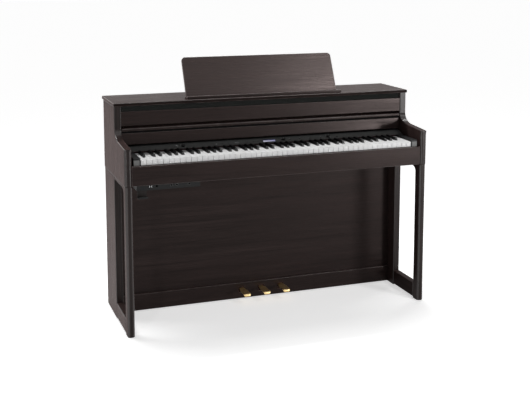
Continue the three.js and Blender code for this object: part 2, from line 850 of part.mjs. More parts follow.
// The stay opens from the pocket until its foot stands on the top board.
const stayPinZ = restAxisZ + stayUp * Math.cos(restLean) - stayY * Math.sin(restLean);
const stayFootZ = caseTop + stayLift + stayThick / 2;
const stay = new THREE.Group();
stay.position.set(0, stayY, stayUp);
stay.rotation.x = restLean + Math.acos((stayPinZ - stayFootZ) / stayLength);
rest.add(stay);
const stayHalf = stayWidth / 2;
const stayEnds = [0, -stayLength].map((z) => rodX(stayThick / 2, [-stayHalf, stayHalf], 0, z, 12));
const stayPins = rodX(stayPin, wider([-stayHalf, stayHalf], stayRoom + stayPinEnd - seat), 0, 0, 12);
const stayPlate = block([-stayHalf, stayHalf], [-stayThick / 2, stayThick / 2], [-stayLength, 0]);
piece("music_rest_stay", joined(stayPlate, ...stayEnds, stayPins), steel, stay);

// ---- Sockets and headphone hook -----------------------------------------------------------------

const socketLeft = -innerHalf + boxLeft;
const socketTop = bedBottom - seat;
const socketMiddle = socketTop - boxHeight / 2;
const socketFrontY = boxSetback;
piece(
  "socket_box",
  cut(
    block(
      [socketLeft, socketLeft + boxWidth],
      [socketFrontY, socketFrontY + boxDepth],
      [socketTop - boxHeight, socketTop],
      1,
    ),
    ...phoneFromLeft.map((x) =>
      rodY(phoneRadius, socketLeft + x, [socketFrontY - 1, socketFrontY + phoneDepth], socketMiddle),
    ),
    rodY(
      inletRadius,
      socketLeft + inletFromLeft,
      [socketFrontY + boxDepth - inletDepth, socketFrontY + boxDepth + 1],
      socketMiddle,
    ),
  ),
  darkPlastic,
);

const hookTop = socketTop - boxHeight - seat;
const hookLow = hookTop - hookHeight;
const hookY = socketFrontY + hookReach / 2;
const hook = outline([
  [hookY, hookTop],
  [hookY, hookLow + hookThick],
  [hookY - hookReach, hookLow + hookThick],
  [hookY - hookReach, hookLow + hookLip],
  [hookY - hookReach - hookThick, hookLow + hookLip],
  [hookY - hookReach - hookThick, hookLow],
  [hookY + hookThick, hookLow],
  [hookY + hookThick, hookTop],
]);
const hookLeft = socketLeft + hookFromLeft;
piece("headphone_hook", alongX(hook, hookLeft, hookLeft + hookWidth), blackPlastic);

// ---- Stand --------------------------------------------------------------------------------------

const frameTop = standHeight - seat;
const postNear = postFrontY - seat;

// Front leg with its top rail: the inner corner between them is filled by a haunch.
function legProfile() {
  const shape = new THREE.Shape();
  shape.moveTo(0, 0);
  shape.lineTo(legDepth, 0);
  shape.lineTo(legDepth, openTop - haunchDown);
  shape.quadraticCurveTo(legDepth, openTop, legDepth + haunchAcross, openTop);
  shape.lineTo(postNear, openTop);
  shape.lineTo(postNear, frameTop);
  shape.lineTo(0, frameTop);
  return shape;
}

for (const [name, side] of sides) {
  const across = span(side, frameInner, frameOuter);
  piece(`front_leg_${name}`, alongX(legProfile(), ...across, softEdge), wood);
  const footY = [legDepth + seat, postNear];
  const footZ = [footClear, footClear + footHeight];
  piece(`foot_rail_${name}`, block(across, footY, footZ, softEdge / 2), wood);
  piece(`rear_post_${name}`, block(across, [postFrontY, caseBackY], [0, frameTop], softEdge / 2), wood);
}

const betweenFrames = frameInner - seat;
piece(
  "knee_panel",
  block(
    [-betweenFrames, betweenFrames],
    [kneeFrontY, kneeFrontY + kneeThick],
    [kickTop + seat, bedBottom - seat],
  ),
  wood,
);

// ---- Pedals -------------------------------------------------------------------------------------

const pedalNames = ["pedal_soft", "pedal_sostenuto", "pedal_damper"];
const pedalAxisY = kickBackY + pedalAxisBack;
const pedalAxisZ = pedalTopZ - pedalThick / 2;
const pedalXs = pedalNames.map((_, i) => (i - 1) * pedalPitch);
const slotHalf = pedalNeck / 2 + slotSide;
const slotLow = pedalTopZ - pedalThick - (pedalAxisBack + kickThick) * Math.sin(pedalTilt) - slotOver;
piece(
  "kick_rail",
  cut(
    block([-betweenFrames, betweenFrames], [kickFrontY, kickBackY], [kickClear, kickTop], 2),
    ...pedalXs.map((x) =>
      block(
        [x - slotHalf, x + slotHalf],
        wider([kickFrontY, kickBackY], 1),
        [slotLow, pedalTopZ + slotOver],
      ),
    ),
  ),
  wood,
);

// A pedal: a narrow neck that flares to a wide tip with a turned-down lip, on a barrel with a pin.
const barrelHalf = pedalNeck / 2 + slotSide;
const cradleNear = barrelHalf + running;
function pedalBody(x) {
  const neck = pedalNeck / 2;
  const wide = pedalWide / 2;
  const flareY = pedalTipY + pedalFlare;
  const shoulderY = pedalTipY + pedalWide;
  const plan = outline([
    [x + neck, pedalAxisY],
    [x - neck, pedalAxisY],
    [x - neck, flareY, pedalCorner],
    [x - wide, shoulderY, pedalCorner],
    [x - wide, pedalTipY, pedalCorner],
    [x + wide, pedalTipY, pedalCorner],
    [x + wide, shoulderY, pedalCorner],
    [x + neck, flareY, pedalCorner],
  ]);
  const under = pedalTopZ - pedalThick;
  return joined(
    upZ(plan, under, pedalTopZ, 2),
    block(
      [x - neck - slotSide / 2, x + neck + slotSide / 2],
      [pedalTipY + 2, pedalTipY + pedalThick],
      [under - pedalLip, under + 3],
      2,
    ),
    rodX(pedalBarrel, [x - barrelHalf, x + barrelHalf], pedalAxisY, pedalAxisZ),
    rodX(
      pedalPin,
      wider([x - barrelHalf, x + barrelHalf], running + cradleWide - seat),
      pedalAxisY,
      pedalAxisZ,
      12,
    ),
  );
}
pedalNames.forEach((name, i) => piece(name, pedalBody(pedalXs[i]), brass));

// The pedal box behind the kick rail is open towards it, and holds a pair of cradles for each pedal.
const boxFrontY = kickBackY + seat;
const boxBackY = boxFrontY + pedalBoxDeep;
const screwY = boxFrontY + glideRadius + boxWall;
const cradleTop = pedalAxisZ + pedalPin + boxWall;
const cradles = pedalXs.flatMap((x) =>
  sides.map(([, side]) => {
    const [near, far] = span(side, cradleNear, cradleNear + cradleWide);
    return block(
      [x + near, x + far],
      wider([pedalAxisY, pedalAxisY], pedalBarrel + 2),
      [boxFloorZ + boxWall / 2, cradleTop],
    );
  }),
);
const boxShell = cut(
  block([-boxHalf, boxHalf], [boxFrontY, boxBackY], [boxFloorZ, pedalBoxTop]),
  block(
    wider([-boxHalf, boxHalf], -boxWall),
    [boxFrontY - 1, boxBackY - boxWall],
    [boxFloorZ + boxWall, pedalBoxTop - boxWall],
  ),
);
piece(
  "pedal_box",
  cut(
    joined(boxShell, ...cradles),
    ...pedalXs.map((x) =>
      rodX(pedalPin + running, wider([x, x], cradleNear + cradleWide + 1), pedalAxisY, pedalAxisZ, 12),
    ),
    rodZ(screwRadius + running, 0, screwY, [boxFloorZ - 1, boxFloorZ + boxWall + 1]),
  ),
  blackPlastic,
);
piece(
  "pedal_adjuster",
  joined(
    rodZ(glideRadius, 0, screwY, [0, glideHeight], 24),
    rodZ(screwRadius, 0, screwY, [glideHeight / 2, screwTop]),
  ),
  blackPlastic,
);

// ---- Sound and electronics ----------------------------------------------------------------------

// A speaker on the key bed, facing down through its hole: flange, basket and magnet over a hollow cone.
function speaker(x) {
  const flange = 4;
  const dish = 22;
  const points = [
    [0, dish],
    [coneRadius / 3, dish],
    [coneRadius - flange, 0],
    [speakerRadius, 0],
    [speakerRadius, flange],
    [coneRadius - flange, flange],
    [magnetRadius, speakerHeight * 0.6],
    [magnetRadius, speakerHeight],
    [0, speakerHeight],
  ].map(([r, z]) => new THREE.Vector2(r, z));
  return new THREE.LatheGeometry(points, 24).rotateX(Math.PI / 2).translate(x, speakerY, bedTop + seat);
}
for (const [name, side] of sides) piece(`speaker_${name}`, speaker(side * speakerX), blackPlastic);

// The main circuit board stands on four pillars on the key bed, with its larger components.
const boardY = speakerY - boardDeep / 2;
const boardZ = bedTop + seat + boardLift;
const pillars = [0.06, 0.94].flatMap((u) =>
  [0.1, 0.9].map((v) =>
    rodZ(
      pillarRadius,
      boardLeftX + u * boardLong,
      boardY + v * boardDeep,
      [bedTop + seat, boardZ + boardThick / 2],
      8,
    ),
  ),
);
const components = boardParts.map(({ u, v, long, deep, high }) =>
  block(
    [boardLeftX + u * boardLong - long / 2, boardLeftX + u * boardLong + long / 2],
    [boardY + v * boardDeep - deep / 2, boardY + v * boardDeep + deep / 2],
    [boardZ + boardThick / 2, boardZ + boardThick + high],
  ),
);
const boardPlate = block(
  [boardLeftX, boardLeftX + boardLong],
  [boardY, boardY + boardDeep],
  [boardZ, boardZ + boardThick],
);
piece("main_board", joined(boardPlate, ...pillars, ...components), circuit);

// ---- Origin on the floor, under the middle of the outline ---------------------------------------

piano.position.y = -topBackY / 2;

export default piano;
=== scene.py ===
"""A digital piano on its stand: the fine surfaces and finishes of its pieces, in metres, +Z up."""
import json
import math

import bpy
import numpy as np
from mathutils import Matrix, Vector


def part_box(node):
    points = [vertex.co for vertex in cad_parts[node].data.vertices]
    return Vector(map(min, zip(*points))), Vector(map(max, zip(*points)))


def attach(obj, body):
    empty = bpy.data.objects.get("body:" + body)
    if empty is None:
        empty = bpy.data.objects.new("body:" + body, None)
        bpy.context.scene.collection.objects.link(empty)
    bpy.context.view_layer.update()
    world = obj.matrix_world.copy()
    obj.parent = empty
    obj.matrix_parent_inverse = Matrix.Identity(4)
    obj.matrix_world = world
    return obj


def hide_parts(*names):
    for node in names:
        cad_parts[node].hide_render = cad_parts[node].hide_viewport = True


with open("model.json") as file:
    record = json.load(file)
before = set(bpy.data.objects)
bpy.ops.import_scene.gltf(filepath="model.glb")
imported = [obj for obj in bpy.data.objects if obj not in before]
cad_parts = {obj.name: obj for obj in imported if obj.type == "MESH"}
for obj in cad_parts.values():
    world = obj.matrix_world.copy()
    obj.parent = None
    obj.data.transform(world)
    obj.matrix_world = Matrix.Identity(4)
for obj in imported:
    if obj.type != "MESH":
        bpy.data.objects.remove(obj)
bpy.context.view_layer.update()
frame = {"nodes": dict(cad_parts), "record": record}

MM = 0.001
SIDES = {"left": -1, "right": 1}

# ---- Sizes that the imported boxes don't tell, in millimetres ----

WHITE_KEYS = 52
FIRST_SINGLE = 23  # the first white key of the octave whose keys turn one by one
WHITE_GAP = 1.0
TAIL_GAP = 0.6
BLACK_WIDTH = 11.0
BLACK_TOP_WIDTH = 9.0
WHITE_HEAD = 50.0
BLACK_LENGTH = 97.0
BLACK_LEAN = 6.0  # how far the nose of a black key leans back over its height
WHITE_HEEL = 7.0
BLACK_HEEL = 13.0
STEM_BACK = 42.0
HEEL_END = 12.0
ARM_FRONT_RISE = 49.0
ARM_BACK_RISE = 59.0
ELBOW = 150.0
STILE = 205.5
SHOULDER_RISE = 7.0
ARM_ROUNDING = 12.0
CHEEK_OUT, CHEEK_IN = 0.6, 4.0  # the cheek plates' margins beside the side panels and beside the keys
PANEL_SLOPE = math.radians(20.2)
PANEL_RUN = 43.5
PANEL_SHELF = 33.0
PANEL_LIP_DEPTH = 3.5
PANEL_THICK = 3.0
MOULDING_HEIGHT = 12.0
GROOVE_HEIGHT = 9.0
MOULDING_OUT = 4.0
STRIP_THICK = 12.0
LEDGE_LIP = 6.0
LEDGE_CRADLE = 12.0
LEDGE_FLOOR = 2.2
REST_CLEAR = 0.3
REST_LEAN = math.radians(25.7)
REST_THICK = 12.0
REST_HEIGHT = 177.0
POCKET_HALF = 62.0
POCKET_FROM, POCKET_TO = 59.5, 140.2
HAUNCH_ACROSS = 43.0
HAUNCH_DOWN = 25.0
LEG_DEPTH = 44.0
FRAME_RAIL = 13.0
PEDAL_PIVOT = 359.5
PEDAL_NECK = 11.0
PEDAL_TIP = 17.0
PEDAL_THICK = 4.6
PEDAL_BEND = 6.5
PEDAL_LIP = 4.0
PEDAL_FLARE_BACK, PEDAL_FLARE = 84, 46  # where the flare starts, back from the bend, and its length
PEDAL_END = 14
PEDAL_SQUARENESS = 3.6  # the power of its sections' superellipse
PEDAL_SLOT = 14.0
SLOT_BELOW, SLOT_ABOVE = 3.1, 3.0
COLLAR_WALL = 1.7
JACK_BORE = 4.2
JACKS = (145, 168, 220)
DATA_SOCKET, SPARE_SOCKET, INLET = 58, 84, 60
SCREWS_ACROSS = 9
SCREW_ASIDE, SCREW_UP = 14, 12  # from the rear board's ends, and from its long edges


# ---- Making surfaces ----

def unit(vectors):
    """Vectors brought to length 1: v / |v|."""
    return vectors / np.linalg.norm(vectors, axis=-1, keepdims=True)


def rounded(corners, radius, steps=6):
    """A closed outline whose corners are arcs, each starting radius * tan(turn / 2) before its corner."""
    point = np.asarray(corners, float)
    radius = np.broadcast_to(radius, len(point)).astype(float)
    into = unit(point - np.roll(point, 1, 0))
    out = unit(np.roll(point, -1, 0) - point)
    turn = np.arctan2(into[:, 0] * out[:, 1] - into[:, 1] * out[:, 0], (into * out).sum(1))
    side = np.sign(turn)[:, None] * np.stack([-into[:, 1], into[:, 0]], 1)
    back = radius * np.tan(np.abs(turn) / 2)
    centre = point - into * back[:, None] + side * radius[:, None]
    start = np.arctan2(-side[:, 1], -side[:, 0])
    angle = start[:, None] + turn[:, None] * np.linspace(0, 1, steps)
    arc = centre[:, None] + radius[:, None, None] * np.stack([np.cos(angle), np.sin(angle)], 2)
    path = arc.reshape(-1, 2)
    return path[np.linalg.norm(path - np.roll(path, 1, 0), axis=1) > 1e-7]


def bend(start, control, end, steps=16):
    """Points of the quadratic curve from start to end that leaves and arrives in line with control."""
    t = np.linspace(0, 1, steps)[:, None]
    start, control, end = (np.asarray(p, float) for p in (start, control, end))
    return (1 - t) ** 2 * start + 2 * t * (1 - t) * control + t**2 * end


def edged(low, high, radius, steps=5):
    """Heights from low to high, and each outline point's inset there: r - sqrt(r^2 - (r - d)^2).

    r is that point's rounding, or one for all, and d its distance to the nearer end, as far as r.
    """
    radius = np.atleast_1d(np.asarray(radius, float))[None]
    rise = radius.max() * (1 - np.cos(np.linspace(0, math.pi / 2, steps)))
    left = np.clip(radius - rise[:, None], 0, None)
    inset = radius - np.sqrt(radius**2 - left**2)
    return np.concatenate([low + rise, high - rise[::-1]]), np.concatenate([inset, inset[::-1]])


def skin(rings):
    """A closed surface over a grid of rings, shape (rings, points, 3), with a face over each end ring."""
    count, around = rings.shape[:2]
    i, j = np.meshgrid(np.arange(count - 1), np.arange(around), indexing="ij")
    here, right = i * around + j, i * around + (j + 1) % around
    quads = np.stack([here, right, right + around, here + around], -1).reshape(-1, 4)
    last = (count - 1) * around + np.arange(around)
    faces = quads.tolist() + [np.arange(around)[::-1].tolist(), last.tolist()]
    return rings.reshape(-1, 3), faces


def loft(outline, levels, axis="z"):
    """Rings P(u, v) = outline(u) - inset(u, v) * normal(u) at height(v) along an axis.

    The outline lies in the plane of the two other axes, in the order X Y Z X.
    """
    outline = np.asarray(outline, float)
    height, inset = levels
    inset = np.broadcast_to(inset, (len(height), len(outline)))
    nxt = np.roll(outline, -1, 0)
    if (outline[:, 0] * nxt[:, 1] - outline[:, 1] * nxt[:, 0]).sum() < 0:
        outline, inset = outline[::-1], inset[:, ::-1]
    along = unit(np.roll(outline, -1, 0) - outline)
    edge = np.stack([along[:, 1], -along[:, 0]], 1)
    before = np.roll(edge, 1, 0)
    normal = (edge + before) / (1 + (edge * before).sum(1, keepdims=True))
    flat = outline[None] - inset[:, :, None] * normal[None]
    rings = np.concatenate([flat, np.broadcast_to(height[:, None, None], flat.shape[:2] + (1,))], 2)
    return skin(np.roll(rings, {"x": 1, "y": 2, "z": 0}[axis], axis=2))


def along_x(outline, low, high, radius, steps=5):
    """An outline in Y and Z carried along X between two corners, its ends rounded."""
    return loft(outline, edged(low[0], high[0], radius, steps), "x")


def brick(low, high, radius=1.0, corner=None, axis="z"):
    """A block between two corners with rounded upright corners and rounded ends along an axis."""
    order = {"x": (1, 2, 0), "y": (2, 0, 1), "z": (0, 1, 2)}[axis]
    a, b, c = order
    corners = [(low[a], low[b]), (high[a], low[b]), (high[a], high[b]), (low[a], high[b])]
    return loft(rounded(corners, corner or radius + 0.2), edged(low[c], high[c], radius), axis)


def turned(profile, centre, axis="z", around=32, flutes=0, depth=0.0):
    """A profile of (radius, height) turned about an axis: r(v) * (1 - depth * cos(flutes * angle))."""
    profile = np.asarray(profile, float)
    angle = np.linspace(0, 2 * math.pi, around, endpoint=False)
    radius = profile[:, :1] * (1 - depth * np.cos(flutes * angle))[None]
    height = np.broadcast_to(profile[:, 1:], radius.shape)
    rings = np.stack([radius * np.cos(angle), radius * np.sin(angle), height], 2)
    return moved(skin(np.roll(rings, {"x": 1, "y": 2, "z": 0}[axis], axis=2)), centre)


def rod(radius, low, high, centre, axis, around=24):
    """A plain round bar between two heights on its axis."""
    return turned([(0.01, low), (radius, low), (radius, high), (0.01, high)], centre, axis, around)


def moved(shape, offset):
    """The shape shifted by an offset."""
    return shape[0] + np.asarray(offset, float), shape[1]


def turned_by(shape, matrix):
    """The shape carried by a 4 x 4 matrix."""
    matrix = np.array(matrix)
    return shape[0] @ matrix[:3, :3].T + matrix[:3, 3], shape[1]


def together(*shapes):
    """Several shapes as one."""
    starts = np.cumsum([0] + [len(points) for points, _ in shapes])
    faces = [[v + start for v in face] for start, (_, part) in zip(starts, shapes) for face in part]
    return np.concatenate([points for points, _ in shapes]), faces


def box_mm(node):
    """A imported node's two corners, in millimetres."""
    low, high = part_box(node)
    return np.array(low) / MM, np.array(high) / MM


def placed(name, data):
    """A new object in the scene."""
    obj = bpy.data.objects.new(name, data)
    bpy.context.scene.collection.objects.link(obj)
    return obj


def meshed(name, shape):
    """A new object from a shape in millimetres."""
    mesh = bpy.data.meshes.new(name)
    mesh.from_pydata((shape[0] * MM).tolist(), [], shape[1])
    return placed(name, mesh)


def piece(name, shape, look, body="root", instead=None, sharp=40, cutters=()):
    """A finished piece from a shape, riding on a body, in place of the node it names."""
    obj = meshed(name, shape)
    obj.data.materials.append(look)
    if cutters:
        hollowed(obj, cutters)
    obj.data.shade_smooth()
    obj.data.set_sharp_from_angle(angle=math.radians(sharp))
    weighted = obj.modifiers.new("flat faces stay flat", "WEIGHTED_NORMAL")
    weighted.keep_sharp = True
    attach(obj, body)
    if instead:
        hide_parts(instead)


def filled(name, node, radius, look, cutters=()):
    """A piece that fills a node's box in its place, with rounded edges."""
    low, high = box_mm(node)
    piece(name, brick(low, high, radius, axis="x"), look, instead=node, cutters=cutters)


def hollowed(obj, cutters):
    """Cuts each shape out of a piece and keeps the result as its mesh."""
    tool = meshed("cutter", together(*cutters))
    cut = obj.modifiers.new("cut", "BOOLEAN")
    cut.object = tool
    cut.solver = "EXACT"
    bpy.context.view_layer.objects.active = obj
    bpy.ops.object.modifier_apply(modifier=cut.name)
    bpy.data.objects.remove(tool)


# ---- Making materials ----

def add(tree, kind, inputs=None, **settings):
    """A node in a tree; an input given as a socket is linked, and any other is set."""
    node = tree.nodes.new(kind)
    for key, value in settings.items():
        setattr(node, key, value)
    for key, value in (inputs or {}).items():
        if isinstance(value, bpy.types.NodeSocket):
            tree.links.new(value, node.inputs[key])
        else:
            node.inputs[key].default_value = value
    return node


def sums(tree, operation, a, b=0.0, clamp=False):
    """An operation on two numbers, held between 0 and 1 if clamp is set."""
    return add(tree, "ShaderNodeMath", {0: a, 1: b}, operation=operation, use_clamp=clamp).outputs[0]


def vectors(tree, operation, a, more=None):
    """A vector operation on a, with its other inputs by their number."""
    return add(tree, "ShaderNodeVectorMath", {0: a, **(more or {})}, operation=operation).outputs[0]


def mixed(tree, factor, first, second):
    """A colour between two, by a factor."""
    colours = {0: factor, 6: first, 7: second}
    return add(tree, "ShaderNodeMix", colours, data_type="RGBA").outputs[2]


def between(tree, value, low, high, to_low=0.0, to_high=1.0):
    """A value's range low to high spread over another range, and held at its ends."""
    inputs = {"Value": value, "From Min": low, "From Max": high, "To Min": to_low, "To Max": to_high}
    return add(tree, "ShaderNodeMapRange", inputs).outputs[0]


def noise(tree, vector, scale, detail=3.0, rough=0.55):
    """A cloudy noise from 0 to 1."""
    inputs = {"Vector": vector, "Scale": scale, "Detail": detail, "Roughness": rough}
    return add(tree, "ShaderNodeTexNoise", inputs).outputs["Fac"]


def waves(tree, vector, scale, direction):
    """Even bands from 0 to 1 across one axis."""
    inputs = {"Vector": vector, "Scale": scale}
    return add(tree, "ShaderNodeTexWave", inputs, bands_direction=direction).outputs["Fac"]


def stretched(tree, vector, scale, turn=(0, 0, 0)):
    """Coordinates turned and scaled, so that a pattern on them is drawn out."""
    inputs = {"Vector": vector, "Scale": scale, "Rotation": turn}
    return add(tree, "ShaderNodeMapping", inputs).outputs[0]


def group(name, inputs, outputs, build):
    """A node group on a Vector and other inputs; build(tree, sockets) gives each output's value."""
    tree = bpy.data.node_groups.new(name, "ShaderNodeTree")
    for label, default in {"Vector": (0, 0, 0), **inputs}.items():
        kind = "NodeSocketVector" if isinstance(default, tuple) else "NodeSocketFloat"
        socket = tree.interface.new_socket(label, in_out="INPUT", socket_type=kind)
        socket.default_value = default
    for label in outputs:
        tree.interface.new_socket(label, in_out="OUTPUT", socket_type="NodeSocketFloat")
    made = build(tree, tree.nodes.new("NodeGroupInput").outputs)
    add(tree, "NodeGroupOutput", made)
    return tree


def grain_group(tree, given):
    """Straight wood grain along X: broad figure, fine streaks, and short dark pores."""
    where = vectors(tree, "SCALE", given["Vector"], {3: given["Fineness"]})
    drift = noise(tree, stretched(tree, where, (0.6, 3.0, 3.0)), 1.0, 2.0)
    swayed = vectors(tree, "SCALE", drift, {3: 0.02})
    line = vectors(tree, "ADD", where, {1: swayed})
    figure = noise(tree, stretched(tree, line, (0.9, 22.0, 22.0)), 1.0, 3.0)
    streak = noise(tree, stretched(tree, line, (4.0, 190.0, 190.0)), 1.0, 4.0, 0.65)
    pore = noise(tree, stretched(tree, line, (28.0, 1400.0, 1400.0)), 1.0, 2.0, 0.6)
    tone = sums(tree, "ADD", sums(tree, "MULTIPLY", figure, 0.35), sums(tree, "MULTIPLY", streak, 0.65))
    tone = between(tree, tone, 0.37, 0.63)
    pores = between(tree, pore, 0.58, 0.7)
    height = sums(tree, "SUBTRACT", sums(tree, "MULTIPLY", streak, 0.6), pores)
    return {"Tone": tone, "Pores": pores, "Height": height}


def wear_and_highlight_group(tree, given):
    """The rounded edges between a piece's straight sides, and the patches rubbed on them; where they
    lighten a colour, that is partly wear and partly a painted highlight.
    """
    normal = add(tree, "ShaderNodeTexCoord").outputs["Normal"]
    turned_to = add(tree, "ShaderNodeMapping", {"Vector": normal, "Rotation": given["Turn"]}).outputs[0]
    side = vectors(tree, "ABSOLUTE", turned_to)
    x, y, z = add(tree, "ShaderNodeSeparateXYZ", {0: side}).outputs
    convex = between(tree, sums(tree, "MAXIMUM", sums(tree, "MAXIMUM", x, y), z), 0.985, 0.86)
    patch = between(tree, noise(tree, given["Vector"], 38.0, 4.0), 0.35, 0.7)
    rubbed = sums(tree, "MULTIPLY", convex, patch)
    return {"Mask": sums(tree, "MULTIPLY", rubbed, given["Amount"], True), "Edge": convex}


def dust_group(tree, given):
    """Fine dust on what faces up, in soft patches."""
    normal = add(tree, "ShaderNodeNewGeometry").outputs["Normal"]
    up = add(tree, "ShaderNodeSeparateXYZ", {0: normal}).outputs[2]
    patch = between(tree, noise(tree, given["Vector"], 9.0, 5.0), 0.3, 0.8)
    settled = sums(tree, "MULTIPLY", between(tree, up, 0.6, 1.0), patch)
    return {"Mask": sums(tree, "MULTIPLY", settled, given["Amount"], True)}


def mottle_group(tree, given):
    """The slight unevenness of moulded or painted surfaces: a broad cloud and a fine tooth."""
    cloud = noise(tree, given["Vector"], given["Cloud"], 3.0)
    tooth = noise(tree, given["Vector"], given["Tooth"], 2.0, 0.7)
    return {"Cloud": cloud, "Tooth": tooth}


GRAIN = group("wood grain", {"Fineness": 1.0}, ("Tone", "Pores", "Height"), grain_group)
WEAR_AND_HIGHLIGHT = group("edge wear and painted highlight", {"Amount": 0.3, "Turn": (0, 0, 0)}, ("Mask", "Edge"), wear_and_highlight_group)
DUST = group("dust", {"Amount": 0.1}, ("Mask",), dust_group)
MOTTLE = group("mottle", {"Cloud": 6.0, "Tooth": 900.0}, ("Cloud", "Tooth"), mottle_group)


def place_group(tree, made, where, **inputs):
    """A group in a material with its own values; returns its outputs."""
    return add(tree, "ShaderNodeGroup", {"Vector": where, **inputs}, node_tree=made).outputs


def emptied(block):
    """The node tree of a new material or world, without the nodes it came with."""
    block.use_nodes = True
    block.node_tree.nodes.clear()
    return block.node_tree


def material(name, build):
    """A material; build(tree, where) returns the Principled BSDF's inputs, from object coordinates."""
    made = bpy.data.materials.new(name)
    tree = emptied(made)
    where = add(tree, "ShaderNodeTexCoord").outputs["Object"]
    shader = add(tree, "ShaderNodeBsdfPrincipled", build(tree, where))
    add(tree, "ShaderNodeOutputMaterial", {"Surface": shader.outputs[0]})
    return made


def bumped(tree, height, distance, strength=1.0):
    """A normal that follows a height of 0 to 1, which stands for a distance in metres."""
    inputs = {"Height": height, "Distance": distance, "Strength": strength}
    return add(tree, "ShaderNodeBump", inputs).outputs[0]


def dark_wood(name, turn=(0, 0, 0), gloss=0.12, film=0.0, lean=0.0, wear=0.5):
    """Dark rosewood in a satin finish, its grain along X before the turn.

    gloss is its specular level, and film the weight of a thin coat that shows where it is seen face on.
    lean is how far its faces lean back from upright, and wear how much its edges are rubbed and lightened,
    partly a painted highlight.
    """
    def build(tree, where):
        along = stretched(tree, where, (1, 1, 1), turn)
        grain = place_group(tree, GRAIN, along, Fineness=1.0)
        edges = place_group(tree, WEAR_AND_HIGHLIGHT, where, Amount=wear, Turn=(lean, 0, 0))
        dust = place_group(tree, DUST, where, Amount=0.05)["Mask"]
        colour = mixed(tree, grain["Tone"], (0.0048, 0.0033, 0.0030, 1), (0.0245, 0.0168, 0.0157, 1))
        pores = sums(tree, "MULTIPLY", grain["Pores"], 0.55)
        colour = mixed(tree, pores, colour, (0.004, 0.003, 0.003, 1))
        # Lighter rounded edges: partly rubbed wear, partly a painted highlight for the light they catch.
        colour = mixed(tree, edges["Mask"], colour, (0.14, 0.115, 0.108, 1))
        colour = mixed(tree, dust, colour, (0.30, 0.29, 0.28, 1))
        rough = between(tree, grain["Tone"], 0.0, 1.0, 0.33, 0.23)
        aside = add(tree, "ShaderNodeLayerWeight", {"Blend": 0.5}).outputs["Facing"]
        facing = between(tree, aside, 0.30, 0.80, film, 0.0)
        polished = sums(tree, "MULTIPLY", edges["Edge"], 0.9)
        return {
            "Base Color": colour,
            "Roughness": rough,
            "Specular IOR Level": gloss,
            "Coat Weight": sums(tree, "ADD", facing, polished, True),
            "Coat Roughness": 0.27,
            "Coat IOR": 1.5,
            "Specular Tint": (1.0, 0.82, 0.79, 1),
            "Sheen Weight": 0.13,
            "Sheen Roughness": 0.45,
            "Sheen Tint": (1.0, 0.60, 0.56, 1),
            "Normal": bumped(tree, grain["Height"], 0.00006, 0.7),
        }
    return material(name, build)


def moulded(name, colour, rough, tooth=0.00002, specular=0.4, wear=0.25):
    """Moulded plastic with a fine tooth."""
    def build(tree, where):
        uneven = place_group(tree, MOTTLE, where, Cloud=7.0, Tooth=1500.0)
        worn = place_group(tree, WEAR_AND_HIGHLIGHT, where, Amount=wear)["Mask"]
        lighter = tuple(min(1.0, c * 1.5 + 0.01) for c in colour)
        paler = (*(c * 1.15 for c in colour), 1)
        tint = mixed(tree, between(tree, uneven["Cloud"], 0.3, 0.7), (*colour, 1), paler)
        return {
            "Base Color": mixed(tree, worn, tint, (*lighter, 1)),
            "Roughness": between(tree, uneven["Tooth"], 0.3, 0.7, rough - 0.05, rough + 0.05),
            "Specular IOR Level": specular,
            "Normal": bumped(tree, uneven["Tooth"], tooth),
        }
    return material(name, build)


def key_ivory(tree, where):
    """White key tops: a faint straight figure along the key and a silky tooth."""
    lines = noise(tree, stretched(tree, where, (900.0, 14.0, 900.0)), 1.0, 3.0)
    cloud = noise(tree, where, 5.0, 2.0)
    colour = mixed(tree, between(tree, lines, 0.3, 0.7), (0.67, 0.67, 0.67, 1), (0.76, 0.76, 0.76, 1))
    colour = mixed(tree, between(tree, cloud, 0.45, 0.75, 0.0, 0.25), colour, (0.71, 0.705, 0.695, 1))
    return {
        "Base Color": colour,
        "Roughness": between(tree, lines, 0.3, 0.7, 0.30, 0.40),
        "Specular IOR Level": 0.45,
        "Normal": bumped(tree, lines, 0.00001),
    }


def key_ebony(tree, where):
    """Black keys: fine lines along the key, edges paled by fingers and by a painted highlight on their
    fronts, and a thin coat seen face on.
    """
    lines = noise(tree, stretched(tree, where, (1100.0, 18.0, 1100.0)), 1.0, 3.0)
    worn = place_group(tree, WEAR_AND_HIGHLIGHT, where, Amount=0.25)["Mask"]
    figure = between(tree, lines, 0.3, 0.7)
    colour = mixed(tree, figure, (0.003, 0.003, 0.0033, 1), (0.006, 0.006, 0.0064, 1))
    aside = add(tree, "ShaderNodeLayerWeight", {"Blend": 0.5}).outputs["Facing"]
    # The paler edges and noses are partly finger wear and partly a painted highlight on the keys' fronts.
    return {
        "Base Color": mixed(tree, worn, colour, (0.024, 0.024, 0.025, 1)),
        "Roughness": between(tree, lines, 0.3, 0.7, 0.26, 0.34),
        "Specular IOR Level": 0.03,
        "Coat Weight": between(tree, aside, 0.35, 0.65, 0.9, 0.0),
        "Coat Roughness": 0.28,
        "Normal": bumped(tree, lines, 0.000015),
    }


def metal(name, colour, rough, rubbing=(40.0, 1600.0, 1600.0), dark=0.75):
    """Metal with fine rubbed lines and duller patches."""
    def build(tree, where):
        lines = noise(tree, stretched(tree, where, rubbing), 1.0, 3.0)
        cloud = noise(tree, where, 22.0, 4.0)
        dull = (*(c * dark for c in colour), 1)
        return {
            "Base Color": mixed(tree, between(tree, cloud, 0.4, 0.75), (*colour, 1), dull),
            "Metallic": 1.0,
            "Roughness": between(tree, cloud, 0.3, 0.75, rough, rough + 0.16),
            "Normal": bumped(tree, lines, 0.000012),
        }
    return material(name, build)


